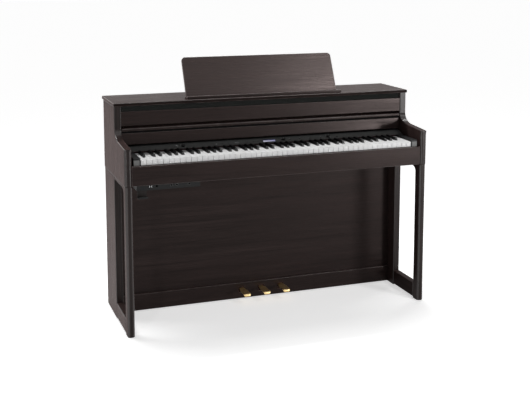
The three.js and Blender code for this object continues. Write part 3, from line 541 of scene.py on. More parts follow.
def wool(name, colour, sheen=0.4):
    """Felt: short matted fibres."""
    def build(tree, where):
        fibre = noise(tree, where, 1800.0, 4.0, 0.7)
        tuft = noise(tree, where, 260.0, 3.0)
        deep = (*(c * 0.55 for c in colour), 1)
        return {
            "Base Color": mixed(tree, between(tree, tuft, 0.35, 0.65), deep, (*colour, 1)),
            "Roughness": 0.95,
            "Specular IOR Level": 0.1,
            "Sheen Weight": sheen,
            "Normal": bumped(tree, fibre, 0.0003),
        }
    return material(name, build)


def grille_cloth(tree, where):
    """Black speaker cloth: over and under threads."""
    weave = sums(tree, "MULTIPLY", waves(tree, where, 420.0, "X"), waves(tree, where, 420.0, "Z"))
    return {
        "Base Color": mixed(tree, weave, (0.009, 0.0098, 0.009, 1), (0.030, 0.0325, 0.030, 1)),
        "Roughness": 0.85,
        "Specular IOR Level": 0.25,
        "Normal": bumped(tree, weave, 0.0002),
    }


def pressed_board(tree, where):
    """Brown hardboard: pressed fibres, matt."""
    fibre = noise(tree, where, 160.0, 6.0, 0.75)
    cloud = noise(tree, where, 5.0, 3.0)
    pressed = between(tree, fibre, 0.3, 0.7)
    colour = mixed(tree, pressed, (0.045, 0.032, 0.024, 1), (0.085, 0.062, 0.047, 1))
    colour = mixed(tree, between(tree, cloud, 0.4, 0.7, 0.0, 0.5), colour, (0.055, 0.041, 0.033, 1))
    return {
        "Base Color": colour,
        "Roughness": 0.78,
        "Specular IOR Level": 0.3,
        "Normal": bumped(tree, fibre, 0.0001),
    }


def circuit_board(tree, where):
    """Green solder resist with lighter tracks."""
    cells = add(tree, "ShaderNodeTexVoronoi", {"Vector": where, "Scale": 140.0}, feature="DISTANCE_TO_EDGE")
    track = between(tree, cells.outputs[0], 0.02, 0.06)
    return {
        "Base Color": mixed(tree, track, (0.03, 0.16, 0.07, 1), (0.012, 0.07, 0.03, 1)),
        "Roughness": 0.4,
        "Normal": bumped(tree, track, 0.00003),
    }


def lit_display(tree, where):
    """A lilac liquid-crystal field: dark bars above, and below a bright band, brightest at the left."""
    place = add(tree, "ShaderNodeSeparateXYZ", {0: where}).outputs
    bars = between(tree, waves(tree, where, 150.0, "X"), 0.2, 0.6)
    cells = sums(tree, "MULTIPLY", bars, between(tree, noise(tree, where, 260.0, 1.0), 0.4, 0.5))
    across = between(tree, place[0], -0.022, 0.03)
    bright = mixed(tree, across, (0.86, 0.85, 0.98, 1), (0.50, 0.50, 0.78, 1))
    dark = mixed(tree, sums(tree, "MULTIPLY", cells, 0.35), (0.012, 0.014, 0.045, 1), (0.30, 0.31, 0.55, 1))
    lower = mixed(tree, sums(tree, "MULTIPLY", cells, 0.25), bright, dark)
    upper = between(tree, place[1], DISPLAY_BAND, DISPLAY_BAND + 0.0006)
    return {
        "Base Color": (0.02, 0.02, 0.03, 1),
        "Emission Color": mixed(tree, upper, lower, dark),
        "Emission Strength": 0.62,
        "Roughness": 0.3,
    }


def lamp_dot(tree, where):
    """A small indicator, lit white, brighter in its middle."""
    cloud = noise(tree, where, 300.0, 1.0)
    return {
        "Base Color": (0.8, 0.82, 0.85, 1),
        "Emission Color": mixed(tree, cloud, (0.75, 0.8, 0.85, 1), (1.0, 1.0, 1.0, 1)),
        "Emission Strength": 0.8,
        "Roughness": 0.4,
    }


def window_glass(tree, where):
    """The clear window over the display, with faint smears in its gloss."""
    smear = noise(tree, where, 60.0, 3.0)
    return {
        "Base Color": (0.95, 0.96, 1.0, 1),
        "Roughness": between(tree, smear, 0.4, 0.7, 0.03, 0.12),
        "Transmission Weight": 1.0,
        "Specular IOR Level": 0.1,
        "IOR": 1.45,
    }


WOOD = dark_wood("rosewood along X")
WOOD_TOP = dark_wood("rosewood of the top", gloss=0.006)
WOOD_UPRIGHT = dark_wood("rosewood upright", (0, math.pi / 2, 0), gloss=0.006, film=0.28, wear=0.08)
WOOD_REST = dark_wood("rosewood of the music rest", gloss=0.40, lean=REST_LEAN)
WOOD_DEEP = dark_wood("rosewood front to back", (0, 0, math.pi / 2), gloss=0.007)
CHARCOAL = moulded("charcoal panel", (0.055, 0.056, 0.055), 0.55, 0.00003)
DARK_MOULDING = moulded("dark moulding", (0.017, 0.014, 0.013), 0.6, 0.00003, 0.15)
# Also the cheek blocks' front plates, where its grey is painted reflection.
GREY_PLASTIC = moulded("grey plastic, painted reflection on cheek fronts", (0.11, 0.11, 0.108), 0.5, 0.00003)
BLACK_PLASTIC = moulded("black plastic", (0.007, 0.007, 0.0072), 0.42, specular=0.16)
WHITE_PRINT = moulded("pale print", (0.55, 0.56, 0.55), 0.6, wear=0.0)
RUBBER = moulded("black rubber", (0.010, 0.010, 0.010), 0.75, 0.00005, 0.3)
IVORY = material("ivory key top", key_ivory)
EBONY = material("ebony key top", key_ebony)
BRASS = metal("pedal brass", (0.80, 0.60, 0.30), 0.33, (1200.0, 60.0, 1200.0))
STEEL = metal("zinc plated steel", (0.52, 0.53, 0.54), 0.32)
DARK_STEEL = metal("blackened screws", (0.05, 0.05, 0.052), 0.40)
RED_FELT = wool("dark red felt", (0.030, 0.007, 0.009))
BROWN_FELT = wool("brown felt", (0.060, 0.022, 0.016))
# Black felt for the cover's groove: painted shade for the shadow there.
BLACK_SHADE_STRIP = wool("black strip of painted shade", (0.0035, 0.0033, 0.0033), 0.0)
CLOTH = material("speaker cloth", grille_cloth)
HARDBOARD = material("hardboard", pressed_board)
CIRCUIT = material("circuit board", circuit_board)
DISPLAY_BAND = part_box("control_panel")[0][1] + 0.0235
DISPLAY = material("lit display", lit_display)
LAMP = material("indicator", lamp_dot)
GLASS = material("display window glass", window_glass)

BY_SLOT = {
    "wood": WOOD,
    "hardboard": HARDBOARD,
    "dark_plastic": CHARCOAL,
    "black_plastic": BLACK_PLASTIC,
    "white_plastic": WHITE_PRINT,
    "ivory": IVORY,
    "ebony": EBONY,
    "brass": BRASS,
    "steel": STEEL,
    "felt": RED_FELT,
    "glass": GLASS,
    "circuit": CIRCUIT,
}
for part in frame["record"]["subparts"]:
    node = frame["nodes"][part["node"]]
    for place_slot in node.material_slots:
        place_slot.material = BY_SLOT[part["material_slot"]]


# ---- Places that many pieces share, in millimetres ----

arm_low, arm_high = box_mm("side_panel_left")
FRONT = arm_low[1]
felt_low, felt_high = box_mm("name_felt")
panel_low, panel_high = box_mm("control_panel")
cover_low, cover_high = box_mm("key_cover_front")
single_low, single_high = box_mm("key_c4")
WHITE_TOP = single_high[2]
KEY_UNDER = single_low[2]
KEY_FRONT = single_low[1]
KEY_END = single_high[1]
BLACK_TOP = box_mm("key_c_sharp4")[1][2]


# ---- Cabinet ----

def side_panels():
    """Arm, shoulder curve and stile in one board, with soft edges all round."""
    foot, back, top = arm_low[2], arm_high[1], arm_high[2]
    arm_front, arm_back = WHITE_TOP + ARM_FRONT_RISE, WHITE_TOP + ARM_BACK_RISE
    stile, elbow, shoulder = FRONT + STILE, FRONT + ELBOW, cover_high[2] + SHOULDER_RISE
    slope = (arm_back - arm_front) / ELBOW
    step = 14.0
    curve = bend((stile, shoulder), (stile, arm_back + (shoulder - arm_back) / 4), (elbow, arm_back))
    outline = np.concatenate([
        [(FRONT, foot), (FRONT + step, foot), (back, foot), (back, top), (stile, top)],
        curve,
        [(FRONT + step, arm_front + slope * step), (FRONT, arm_front), (FRONT, arm_front - step)],
    ])
    soft = [ARM_ROUNDING, 3.0, 3.0, 3.0, 3.0, *np.linspace(3.0, 5.0, len(curve)), 5.0, 7.0, ARM_ROUNDING]
    for name in SIDES:
        low, high = box_mm(f"side_panel_{name}")
        board = along_x(outline, low, high, soft, 9)
        piece(f"side_board_{name}", board, WOOD_UPRIGHT, instead=f"side_panel_{name}")


def flat_boards():
    """Boards whose grain runs along X, with eased edges: top, name panel, key slip, knee panel."""
    eased = {"top_board": 3.0, "name_panel": 1.2, "key_slip": 1.5, "knee_panel": 1.0}
    for node, radius in eased.items():
        filled(f"{node}_finish", node, radius, WOOD_TOP if node == "top_board" else WOOD)


def speaker_slot():
    """The black slot under the top board: cloth behind slim slats, y(z) rippled across the height."""
    slats, deep = 4, 4.0
    low, high = box_mm("speaker_grille")
    z = np.linspace(low[2], high[2], 14 * slats + 1)
    ripple = 0.5 - 0.5 * np.cos(2 * math.pi * slats * (z - low[2]) / (high[2] - low[2]))
    face = np.stack([low[1] + deep * ripple, z], 1)
    outline = np.concatenate([face, [(high[1], high[2]), (high[1], low[2])]])
    cloth = along_x(outline, low, high, 0.0, 2)
    piece("speaker_slot_cloth", cloth, CLOTH, instead="speaker_grille", sharp=60)


def cheek_blocks():
    """Black blocks at the keyboard's ends, each with a grey plate on its front below the keys' tops: a
    painted reflection that makes the front lighter than the top.
    """
    for name in SIDES:
        low, high = box_mm(f"cheek_block_{name}")
        filled(f"cheek_cap_{name}", f"cheek_block_{name}", 1.5, BLACK_PLASTIC)
        near, far = (CHEEK_OUT, CHEEK_IN) if name == "left" else (CHEEK_IN, CHEEK_OUT)
        # The grey front plate is painted reflection: the front looks lit and the black top shaded.
        reflection_low = (low[0] + near, low[1] - 0.7, low[2] + 1)
        plate = brick(reflection_low, (high[0] - far, low[1] + 2, WHITE_TOP), 0.4, 1.2, "y")
        piece(f"cheek_front_painted_reflection_{name}", plate, GREY_PLASTIC)


side_panels()
flat_boards()
speaker_slot()
cheek_blocks()
filled("key_felt_strip", "name_felt", 0.6, RED_FELT)


# ---- Keys ----

LEFT_EDGE = felt_low[0]
PITCH = (felt_high[0] - LEFT_EDGE) / WHITE_KEYS
SLOT = BLACK_WIDTH + 2 * TAIL_GAP
STEM_END = KEY_END - HEEL_END - STEM_BACK


def letter_of(white):
    """0 is C; the first white key is an A."""
    return (white + 5) % 7


def has_black(white):
    """Whether a black key stands between this white key and the next."""
    return 0 <= white < WHITE_KEYS - 1 and letter_of(white) not in (2, 6)


def black_centre(white):
    """In the runs C to E and F to B the tails between the black keys are equally wide."""
    letter = letter_of(white)
    start, count = (0, 3) if letter < 3 else (3, 4)
    tail = (count * PITCH - (count - 1) * SLOT) / count
    nth = letter - start + 1
    return LEFT_EDGE + (white - nth + 1) * PITCH + nth * tail + (nth - 0.5) * SLOT


def white_key(white):
    """The key's outline, cut back beside the black keys, raised to a softly rounded top."""
    left = LEFT_EDGE + white * PITCH + WHITE_GAP / 2
    right = left + PITCH - WHITE_GAP
    tail_left = black_centre(white - 1) + SLOT / 2 if has_black(white - 1) else left
    tail_right = black_centre(white) - SLOT / 2 if has_black(white) else right
    head = KEY_FRONT + WHITE_HEAD
    corners = [(left, KEY_FRONT, 1.2), (right, KEY_FRONT, 1.2)]
    if tail_right < right:
        corners += [(right, head, 1.2), (tail_right, head, 0.6)]
    corners += [(tail_right, STEM_END, 0.3), (tail_left, STEM_END, 0.3)]
    if tail_left > left:
        corners += [(tail_left, head, 0.6), (left, head, 1.2)]
    ring = rounded([corner[:2] for corner in corners], [corner[2] for corner in corners], 4)
    stem = loft(ring, edged(KEY_UNDER, WHITE_TOP, 0.9, 4))
    heel = brick((tail_left, STEM_END - 1, WHITE_TOP - WHITE_HEEL), (tail_right, KEY_END, WHITE_TOP), 0.3)
    return together(stem, heel)


def black_key(white):
    """A tapered bar: each level's ring narrows and its nose leans back as it rises, then rounds over."""
    centre, front = black_centre(white), KEY_FRONT + WHITE_HEAD + TAIL_GAP
    start, half, soft = WHITE_TOP - 2, BLACK_WIDTH / 2, 1.6
    corners = [(-half, 0), (half, 0), (half, BLACK_LENGTH), (-half, BLACK_LENGTH)]
    ring = rounded(corners, (2.0, 2.0, 0.5, 0.5), 6)
    over = np.linspace(0, math.pi / 2, 6)
    height = np.concatenate([[start], BLACK_TOP - soft + soft * np.sin(over)])
    inset = np.concatenate([[0], soft * (1 - np.cos(over))])
    rise = (height - start) / (BLACK_TOP - start)
    taper = 1 - rise * (BLACK_WIDTH - BLACK_TOP_WIDTH) / BLACK_WIDTH
    x = centre + ring[None, :, 0] * (taper - inset / half)[:, None]
    lean = BLACK_LEAN * rise + inset
    y = front + ring[None, :, 1] * (1 - lean / BLACK_LENGTH)[:, None] + lean[:, None]
    z = np.broadcast_to(height[:, None], x.shape)
    wedge = skin(np.stack([x, y, z], 2))
    stem = brick((centre - half, front, KEY_UNDER), (centre + half, STEM_END, WHITE_TOP - 1), 0.5)
    heel_top = KEY_UNDER + BLACK_HEEL
    heel = brick((centre - half, STEM_END - 1, KEY_UNDER), (centre + half, KEY_END, heel_top), 0.3)
    return together(stem, heel, wedge)


def keyboard():
    """Four banks and the twelve single keys of the middle octave, each riding on its own body."""
    last_single = FIRST_SINGLE + 7
    for part, whites in {"bass": range(FIRST_SINGLE), "treble": range(last_single, WHITE_KEYS)}.items():
        blacks = [white for white in whites if has_black(white)]
        node = f"white_keys_{part}"
        piece(f"ivories_{part}", together(*map(white_key, whites)), IVORY, node, node)
        node = f"black_keys_{part}"
        piece(f"ebonies_{part}", together(*map(black_key, blacks)), EBONY, node, node)
    for white in range(FIRST_SINGLE, last_single):
        letter = "cdefgab"[letter_of(white)]
        node = f"key_{letter}4"
        piece(f"ivory_{letter}", white_key(white), IVORY, node, node)
        if has_black(white):
            node = f"key_{letter}_sharp4"
            piece(f"ebony_{letter}_sharp", black_key(white), EBONY, node, node)


keyboard()


# ---- Control panel ----

LIP = Vector((0, panel_low[1], WHITE_TOP + 5.0))
ON_DECK = Matrix.Translation(LIP) @ Matrix.Rotation(PANEL_SLOPE, 4, "X")
ROW = PANEL_RUN / math.cos(PANEL_SLOPE) / 2
BUTTONS = (100, 148, 196, 249, 328)
TOUCH_PADS = (-214, -186, -100, -72, -50)
LAMPS = (-242, -154, -143)
POWER = -416
POWER_LAMP_UP = 9
DISPLAY_LEFT, DISPLAY_RIGHT, DISPLAY_HALF = -27.0, 29.0, 8.5
DOT_RING = 11  # the radius of the ring of dots round a knob
KNOBS = {"volume_knob": -390, "dial_knob": 69, "tone_knob": 284}


def on_deck(shape):
    """A shape drawn on the sloping face (x along it, y up it, z out of it), set in place."""
    return turned_by(shape, ON_DECK)


def control_face():
    """The panel's profile: a rounded front lip, the slope, and the shelf that runs in under the cover."""
    under = PANEL_THICK / math.cos(PANEL_SLOPE)
    y, z = LIP.y, LIP.z
    top_y, top_z = y + PANEL_RUN, z + PANEL_RUN * math.tan(PANEL_SLOPE)
    outline = rounded([
        (y, z), (y, z - PANEL_LIP_DEPTH), (y + PANEL_THICK, z - PANEL_LIP_DEPTH),
        (y + PANEL_THICK, z + PANEL_THICK * math.tan(PANEL_SLOPE) - under), (top_y, top_z - under),
        (top_y + PANEL_SHELF, top_z - under), (top_y + PANEL_SHELF, top_z), (top_y, top_z),
    ], (1.2, 0.4, 0.4, 0.2, 0.2, 0.2, 0.2, 3.0))
    face = along_x(outline, panel_low, panel_high, 0.4)
    piece("control_face", face, CHARCOAL, instead="control_panel")


def display():
    """A lit field under a clear window, in a slim raised frame."""
    left, right, low, high = DISPLAY_LEFT, DISPLAY_RIGHT, ROW - DISPLAY_HALF, ROW + DISPLAY_HALF
    lit = brick((left, low, 0.05), (right, high, 0.25), 0.05, 1.5)
    glass = brick((left - 1, low - 1, 0.3), (right + 1, high + 1, 0.7), 0.15, 2.0)
    piece("display_light", on_deck(lit), DISPLAY, instead="display_window")
    piece("display_glass", on_deck(glass), GLASS)
    frame_ring = brick((left - 3, low - 3, 0.0), (right + 3, high + 3, 0.9), 0.35, 3.0)
    hole = brick((left - 1.2, low - 1.2, -1), (right + 1.2, high + 1.2, 2), 0.1, 2.1)
    piece("display_frame", on_deck(frame_ring), BLACK_PLASTIC, cutters=[on_deck(hole)])


def knob(node, x):
    """A fluted knob with a dished top and a pale pointer, in a flat collar."""
    profile = [(0.01, 0.35), (7.0, 0.35), (7.4, 0.7), (7.3, 2.2), (6.9, 7.0), (6.5, 7.8), (5.8, 8.2),
               (5.0, 8.1), (3.5, 7.8), (0.01, 7.7)]
    body = turned(profile, (x, ROW, 0), around=96, flutes=24, depth=0.012)
    piece(f"{node}_cap", on_deck(body), BLACK_PLASTIC, node, node, sharp=50)
    pointer = brick((x - 0.45, ROW + 1.2, 7.75), (x + 0.45, ROW + 5.8, 8.3), 0.15)
    piece(f"{node}_pointer", on_deck(pointer), WHITE_PRINT, node)
    collar = turned([(5.0, -0.2), (9.2, -0.2), (9.2, 0.15), (8.6, 0.3), (5.0, 0.3)], (x, ROW, 0), around=48)
    piece(f"{node}_collar", on_deck(collar), BLACK_PLASTIC)


def small_controls():
    """Round rubber buttons, the power button, indicators, and the plain marks printed round them."""
    cap = [(0.01, -1.0), (3.3, -1.0), (3.4, 0.6), (3.1, 1.2), (2.3, 1.5), (0.01, 1.6)]
    caps = together(*(turned(cap, (x, ROW, 0), around=24) for x in BUTTONS))
    piece("button_caps", on_deck(caps), RUBBER, "panel_buttons", "panel_buttons")
    power = [(0.01, -1.0), (4.3, -1.0), (4.4, 2.6), (4.0, 3.2), (3.2, 3.5), (0.01, 3.4)]
    power_cap = on_deck(turned(power, (POWER, ROW, 0), around=32))
    piece("power_cap", power_cap, GREY_PLASTIC, "power_button", "power_button")
    dot = [(0.01, 0.0), (1.1, 0.0), (0.9, 0.35), (0.01, 0.45)]
    places = [(POWER, ROW + POWER_LAMP_UP), *((x, ROW) for x in LAMPS)]
    dots = together(*(turned(dot, (x, y, 0), around=16) for x, y in places))
    piece("indicator_lamps", on_deck(dots), LAMP)
    pad = [(0.01, 0.0), (2.6, 0.0), (2.3, 0.3), (0.01, 0.32)]
    pads = together(*(turned(pad, (x, ROW, 0), around=20) for x in TOUCH_PADS))
    piece("touch_pads", on_deck(pads), BLACK_PLASTIC)
    marks = [brick((x - 3, ROW + 8.6, 0.0), (x + 3, ROW + 9.3, 0.08), 0.03, 0.2) for x in BUTTONS]
    for x in (knob_x + 6.5 * side for knob_x in KNOBS.values() for side in SIDES.values()):
        marks.append(brick((x - 1.6, ROW + 10, 0.0), (x + 1.6, ROW + 13, 0.08), 0.03, 0.8))
    angles = np.radians(np.arange(-140, 141, 28))
    for x in (KNOBS["volume_knob"], KNOBS["tone_knob"]):
        ring = [(x + DOT_RING * math.sin(a), ROW + DOT_RING * math.cos(a), 0) for a in angles]
        marks += [turned([(0.01, 0.0), (0.45, 0.0), (0.01, 0.1)], at, around=8) for at in ring if at[1] > 1]
    piece("printed_marks", on_deck(together(*marks)), WHITE_PRINT)


control_face()
display()
for node, x in KNOBS.items():
    knob(node, x)
small_controls()


# ---- Key cover ----

def key_cover():
    """The front's profile: a rounded moulding, a groove under it, and a strip whose foot is forward; a
    black strip in the groove is painted shade.
    """
    low, high = cover_low, cover_high
    front, back, bottom, top = low[1], high[1], low[2], high[2]
    face = front + MOULDING_OUT
    groove_high = top - MOULDING_HEIGHT
    groove_low = groove_high - GROOVE_HEIGHT
    outline = rounded([
        (front, top), (front, groove_high), (face + 5, groove_high), (face + 5, groove_low),
        (face, groove_low), (front, bottom), (front + STRIP_THICK, bottom), (back, groove_low), (back, top),
    ], (5.5, 3.5, 0.6, 0.6, 2.0, 2.5, 1.0, 1.0, 1.5), 8)
    moulding = along_x(outline, low, high, 0.8)
    piece("cover_moulding", moulding, WOOD, "key_cover", "key_cover_front")
    # A black strip laid in the groove: painted shade, standing for the shadow in the gap under the
    # moulding.
    shade_strip_from = (low[0] + 1, face + 2.0, groove_low + 0.6)
    felt = brick(shade_strip_from, (high[0] - 1, face + 4.9, groove_high - 0.6), 0.6, axis="x")
    piece("cover_groove_painted_shade", felt, BLACK_SHADE_STRIP, "key_cover")


key_cover()


# ---- Music rest ----

def music_ledge():
    """The ledge's profile: a lip in front, a step, and a low cradle that the rest stands in."""
    low, high = box_mm("music_ledge")
    front, back, bottom, top = low[1], high[1], low[2], high[2]
    step, floor, lip = top - 4.0, bottom + LEDGE_FLOOR, front + LEDGE_LIP
    cradle = back - LEDGE_CRADLE - REST_CLEAR
    outline = rounded([
        (front, bottom), (back, bottom), (back, floor), (cradle, floor),
        (cradle, step), (lip, step), (lip, top), (front, top),
    ], (1.1, 0.8, 0.8, 0.2, 0.5, 0.5, 2.4, 2.4))
    ledge = along_x(outline, low, high, 0.7)
    piece("score_ledge", ledge, WOOD, instead="music_ledge")


def music_rest():
    """The leaning board, with the pocket for its stay cut into its back."""
    ledge_low, ledge_high = box_mm("music_ledge")
    low, high = box_mm("music_rest")
    half = REST_THICK / 2
    axis = Vector((0, ledge_high[1] - half, ledge_low[2] + LEDGE_FLOOR + REST_CLEAR + half))
    lean = Matrix.Translation(axis) @ Matrix.Rotation(-REST_LEAN, 4, "X")
    corners = [(-half, low[0]), (REST_HEIGHT, low[0]), (REST_HEIGHT, high[0]), (-half, high[0])]
    board = loft(rounded(corners, (6.0, 16.0, 16.0, 6.0), 10), edged(-half, half, 2.2), "y")
    pocket_low, pocket_high = (-POCKET_HALF, half - 5.2, POCKET_FROM), (POCKET_HALF, half + 4, POCKET_TO)
    pocket = brick(pocket_low, pocket_high, 0.8, 2.0, "y")
    piece("score_board", turned_by(board, lean), WOOD_REST, "music_rest", "music_rest",
          cutters=[turned_by(pocket, lean)])


music_ledge()
music_rest()


# ---- Stand ----

def stand():
    """Leg with its rail and haunch, foot rail and rear post on each side, all with soft edges."""
    for name in SIDES:
        low, high = box_mm(f"front_leg_{name}")
        leg_back, rail = low[1] + LEG_DEPTH, high[2] - FRAME_RAIL + 0.3
        corners = [(low[0], low[1]), (high[0], low[1]), (high[0], leg_back), (low[0], leg_back)]
        plan = rounded(corners, (ARM_ROUNDING, ARM_ROUNDING, 3.2, 3.2), 10)
        haunch_foot = rail - HAUNCH_DOWN
        haunch = bend((leg_back, haunch_foot), (leg_back, rail), (leg_back + HAUNCH_ACROSS, rail), 14)
        inside, back, top = leg_back - 8, high[1], high[2]
        inner = [(inside, top), (inside, haunch_foot)]
        outline = np.concatenate([inner, haunch, [(back, rail), (back, top)]])
        leg = together(loft(plan, edged(low[2], high[2], 2.0)),
                       loft(outline, edged(low[0] + 0.1, high[0] - 0.1, 3.0), "x"))
        piece(f"leg_board_{name}", leg, WOOD_UPRIGHT, instead=f"front_leg_{name}")
        filled(f"post_board_{name}", f"rear_post_{name}", 3.0, WOOD_UPRIGHT)
        filled(f"foot_board_{name}", f"foot_rail_{name}", 3.0, WOOD_DEEP)


PEDALS = ("pedal_soft", "pedal_sostenuto", "pedal_damper")


def kick_board():
    """The rail across the bottom, with a slot and a felt collar for each pedal."""
    low, high = box_mm("kick_rail")
    slots, collars = [], []
    for node in PEDALS:
        pedal_low, pedal_high = box_mm(node)
        x = (pedal_low[0] + pedal_high[0]) / 2
        left, right = x - PEDAL_SLOT, x + PEDAL_SLOT
        under, over = pedal_low[2] - SLOT_BELOW, pedal_high[2] + SLOT_ABOVE
        slots.append(brick((left, low[1] - 5, under), (right, high[1] + 5, over), 0.1, 3.0, "y"))
        outer_low = (left - 1.6, low[1] - 0.8, under - COLLAR_WALL)
        ring = brick(outer_low, (right + 1.6, low[1] + 3, over + COLLAR_WALL), 0.4, 4.2, "y")
        inner_low = (left + 0.1, low[1] - 5, under + 0.1)
        collars.append((ring, brick(inner_low, (right - 0.1, low[1] + 9, over - 0.1), 0.1, 2.9, "y")))
    filled("kick_board", "kick_rail", 2.0, WOOD, slots)
    for node, (ring, hole) in zip(PEDALS, collars):
        piece(f"{node}_collar", ring, BROWN_FELT, cutters=[hole])


def pedal(node):
    """A brass pedal: superellipse sections along a line that runs forward and turns down at the tip.

    The half-width goes from the neck's to the tip's by a smooth step; the turned-down end rounds off.
    """
    low, high = box_mm(node)
    x = (low[0] + high[0]) / 2
    back, middle = PEDAL_PIVOT + FRONT, high[2] - PEDAL_THICK
    straight = back - (low[1] + PEDAL_THICK + PEDAL_BEND)
    bent = PEDAL_BEND * math.pi / 2
    s = np.concatenate([np.linspace(0, straight, 60), straight + np.linspace(0.5, bent + PEDAL_LIP, 14)])
    turn = np.clip((s - straight) / PEDAL_BEND, 0, math.pi / 2)
    past = np.clip(s - straight - bent, 0, None)
    y = back - np.minimum(s, straight) - PEDAL_BEND * np.sin(turn)
    z = middle - PEDAL_BEND * (1 - np.cos(turn)) - past
    flare = np.clip((s - straight + PEDAL_FLARE_BACK) / PEDAL_FLARE, 0, 1)
    flare = flare * flare * (3 - 2 * flare)
    end = np.clip(1 - (s[-1] - s) / PEDAL_END, 0, 1)
    half = (PEDAL_NECK + (PEDAL_TIP - PEDAL_NECK) * flare) * np.sqrt(1 - 0.55 * end**2)
    deep = PEDAL_THICK * (1 - 0.35 * flare) * np.sqrt(1 - 0.8 * end**6)
    angle = np.linspace(0, 2 * math.pi, 36, endpoint=False)
    a, b = (np.sign(t) * np.abs(t) ** (2 / PEDAL_SQUARENESS) for t in (np.cos(angle), np.sin(angle)))
    across, up = half[:, None] * a[None], deep[:, None] * b[None]
    ring_y = y[:, None] - up * np.sin(turn)[:, None]
    ring_z = z[:, None] + up * np.cos(turn)[:, None]
    blade = skin(np.stack([x + across, ring_y, ring_z], 2)[:, ::-1])
    barrel = [(0.01, -14), (7.6, -14), (8.0, -13.5), (8.0, 13.5), (7.6, 14), (0.01, 14)]
    pivot = (x, back, middle)
    hinge = together(turned(barrel, pivot, "x", 32), rod(4.0, -20, 20, pivot, "x", 20))
    piece(f"{node}_blade", blade, BRASS, node, node, sharp=60)
    piece(f"{node}_barrel", hinge, STEEL, node)


def socket_case():
    """The socket box under the key bed: its jacks with grey rims, a data socket, and the power inlet."""
    low, high = box_mm("socket_box")
    front, back, middle = low[1], high[1], (low[2] + high[2]) / 2
    jacks = [low[0] + x for x in JACKS]
    data_x, spare_x, inlet_x = low[0] + DATA_SOCKET, low[0] + SPARE_SOCKET, low[0] + INLET
    holes = [rod(JACK_BORE, 0, 24, (x, front - 1, middle), "y") for x in (*jacks, spare_x)]
    holes.append(rod(3.4, 0, 15, (inlet_x, back - 14, middle), "y"))
    mouth_low = (data_x - 6.0, front - 1, middle - 4.5)
    holes.append(brick(mouth_low, (data_x + 6.0, front + 12, middle + 4.5), 0.05, 0.4, "y"))
    filled("socket_case", "socket_box", 1.6, BLACK_PLASTIC, holes)
    rim = [(0.01, -0.6), (4.8, -0.6), (5.1, -0.3), (5.1, 1.0), (0.01, 1.0)]
    rims = together(*(turned(rim, (x, front, middle), "y", 28) for x in jacks))
    piece("jack_rims", rims, GREY_PLASTIC, cutters=holes[:3])
    below, above = middle - 4.2, middle + 4.2
    sides = (brick((x - 0.9, front - 0.4, below), (x + 0.9, front + 9, above), 0.3, axis="y")
             for x in (data_x - 4.2, data_x + 4.2))
    piece("data_socket_sides", together(*sides), STEEL)
    tongue_low = (data_x - 2.6, front + 1, middle - 1.6)
    tongue = brick(tongue_low, (data_x + 2.6, front + 11, middle + 1.6), 0.3, axis="y")
    piece("data_socket_tongue", tongue, BLACK_PLASTIC)


def headphone_hook():
    """A bent strip: down from the case, forward, and up again at the tip."""
    low, high = box_mm("headphone_hook")
    thick, lip = 3.0, 9.0
    outline = rounded([
        (high[1] - thick, high[2]), (high[1] - thick, low[2] + thick), (low[1] + thick, low[2] + thick),
        (low[1] + thick, low[2] + lip), (low[1], low[2] + lip), (low[1], low[2]), (high[1], low[2]),
        (high[1], high[2]),
    ], (0.5, 1.2, 1.2, 1.4, 1.4, 3.5, 3.5, 0.5), 6)
    strip = along_x(outline, low, high, 0.4)
    piece("hook_strip", strip, DARK_MOULDING, instead="headphone_hook")
    # A black bar on the front of the tip: painted shade, standing for the shadow in the hook's gap.
    shade_bar_low = (low[0] + 0.6, low[1] - 0.5, low[2] + 0.8)
    pad = brick(shade_bar_low, (high[0] - 0.6, low[1] + 1, low[2] + lip), 0.4, axis="y")
    piece("hook_lip_painted_shade", pad, BLACK_PLASTIC)


def rear_board():
    """The pressed board over the back, held by screws along its edges."""
    low, high = box_mm("rear_cover")
    filled("rear_board", "rear_cover", 0.8, HARDBOARD)
    head = [(0.01, -0.5), (4.2, -0.5), (4.2, 0.3), (3.4, 1.3), (1.8, 1.8), (0.01, 1.9)]
    across = np.linspace(low[0] + SCREW_ASIDE, high[0] - SCREW_ASIDE, SCREWS_ACROSS)
    places = [(x, z) for x in across for z in (low[2] + SCREW_UP, high[2] - SCREW_UP)]
    places += [(x, (low[2] + high[2]) / 2) for x in (across[0], across[-1])]
    screws = together(*(turned(head, (x, high[1], z), "y", 16) for x, z in places))
    piece("rear_screws", screws, DARK_STEEL)


stand()
kick_board()
for node in PEDALS:
    pedal(node)
socket_case()
headphone_hook()
rear_board()


# ---- Camera, light and floor ----

ROOM_LIGHT = 0.12
FLOOR_COLOUR = 0.95
FLOOR_LIFT = 0.56
FLOOR_REACH = 40.0
VIEW_PLACE = -1.4215, -3.7259, 1.5043  # in metres; Y is from the front of the side panels
VIEW_DOWN, VIEW_ASIDE = 0.1274, 0.3448
VIEW_LENS = 65.18
VIEW_SHIFT = -0.0011, -0.2075


def camera():
    """At standing height, left of the middle; its frame is shifted down from the line of sight."""
    data = bpy.data.cameras.new("view")
    data.sensor_width = 36.0
    data.lens = VIEW_LENS
    data.shift_x, data.shift_y = VIEW_SHIFT
    x, y, z = VIEW_PLACE
    obj = placed("view", data)
    obj.location = (x, y + FRONT * MM, z)
    obj.rotation_euler = (math.pi / 2 - VIEW_DOWN, 0, -VIEW_ASIDE)
    bpy.context.scene.camera = obj


def light(name, kind, place, back):
    """A light at a place, its back turned toward a direction."""
    data = bpy.data.lights.new(name, kind)
    obj = placed(name, data)
    obj.location = place
    obj.rotation_mode = "QUATERNION"
    obj.rotation_quaternion = back.to_track_quat("Z", "Y")
    return data


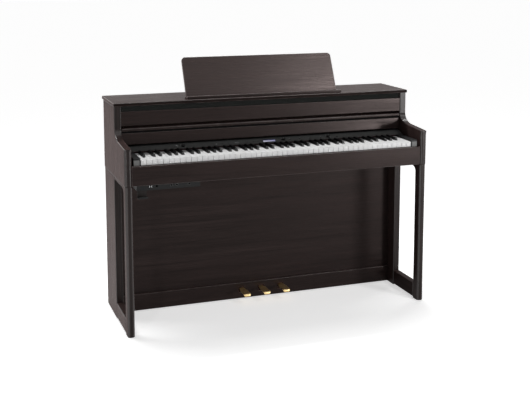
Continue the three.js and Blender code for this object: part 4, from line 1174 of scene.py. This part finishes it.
def far_light(name, toward, spread, strength):
    """A soft light far away in a direction, as even over the floor as over the piano."""
    data = light(name, "SUN", Vector(toward).normalized() * 5, Vector(toward))
    data.angle = math.radians(spread)
    data.energy = strength


def softbox(name, place, toward, size, power):
    """A panel of soft light near the piano, brighter on what is near it."""
    data = light(name, "AREA", place, Vector(place) - Vector(toward))
    data.shape = "RECTANGLE"
    data.size, data.size_y = size
    data.energy = power


def background_rays(tree):
    """1 for rays that should see the plain background: camera, glossy and transmission."""
    path = add(tree, "ShaderNodeLightPath").outputs
    seen = sums(tree, "MAXIMUM", path["Is Camera Ray"], path["Is Glossy Ray"])
    return sums(tree, "MAXIMUM", seen, path["Is Transmission Ray"])


def surroundings():
    """A pale floor that takes the shadow, and a plain white distance."""
    world = bpy.data.worlds.new("studio")
    tree = emptied(world)
    strength = between(tree, background_rays(tree), 0.0, 1.0, ROOM_LIGHT, 1.0)
    light = add(tree, "ShaderNodeBackground", {"Color": (1, 1, 1, 1), "Strength": strength})
    add(tree, "ShaderNodeOutputWorld", {"Surface": light.outputs[0]})
    bpy.context.scene.world = world
    mesh = bpy.data.meshes.new("floor")
    corners = [(x * FLOOR_REACH, y * FLOOR_REACH, 0) for x, y in ((-1, -1), (1, -1), (1, 1), (-1, 1))]
    mesh.from_pydata(corners, [], [(0, 1, 2, 3)])
    floor = placed("floor", mesh)
    paper = bpy.data.materials.new("pale floor")
    tree = emptied(paper)
    lift = between(tree, background_rays(tree), 0.0, 1.0, 0.0, FLOOR_LIFT)
    matt = add(tree, "ShaderNodeBsdfDiffuse", {"Color": (*[FLOOR_COLOUR] * 3, 1)})
    glow = add(tree, "ShaderNodeEmission", {"Color": (1, 1, 1, 1), "Strength": lift})
    both = add(tree, "ShaderNodeAddShader", {0: matt.outputs[0], 1: glow.outputs[0]})
    add(tree, "ShaderNodeOutputMaterial", {"Surface": both.outputs[0]})
    mesh.materials.append(paper)


camera()
surroundings()
softbox("light above the piano", (0.0, 0.56, 2.4), (0.0, 0.10, 0.75), (3.8, 0.14), 38)
softbox("low light from the front right", (2.9, -4.1, 0.62), (0.5, 0, 0.8), (0.8, 0.8), 84)
softbox("high light from the front right", (1.7, -2.2, 3.0), (0.1, 0, 0.95), (0.5, 0.5), 14)
softbox("narrow light from the front left", (-2.7, -3.3, 0.9), (-0.69, 0, 0.5), (0.22, 1.6), 21)
far_light("daylight from above", (-0.12, 0.42, 1.0), 32, 1.10)
bpy.context.scene.view_settings.view_transform = "Standard"
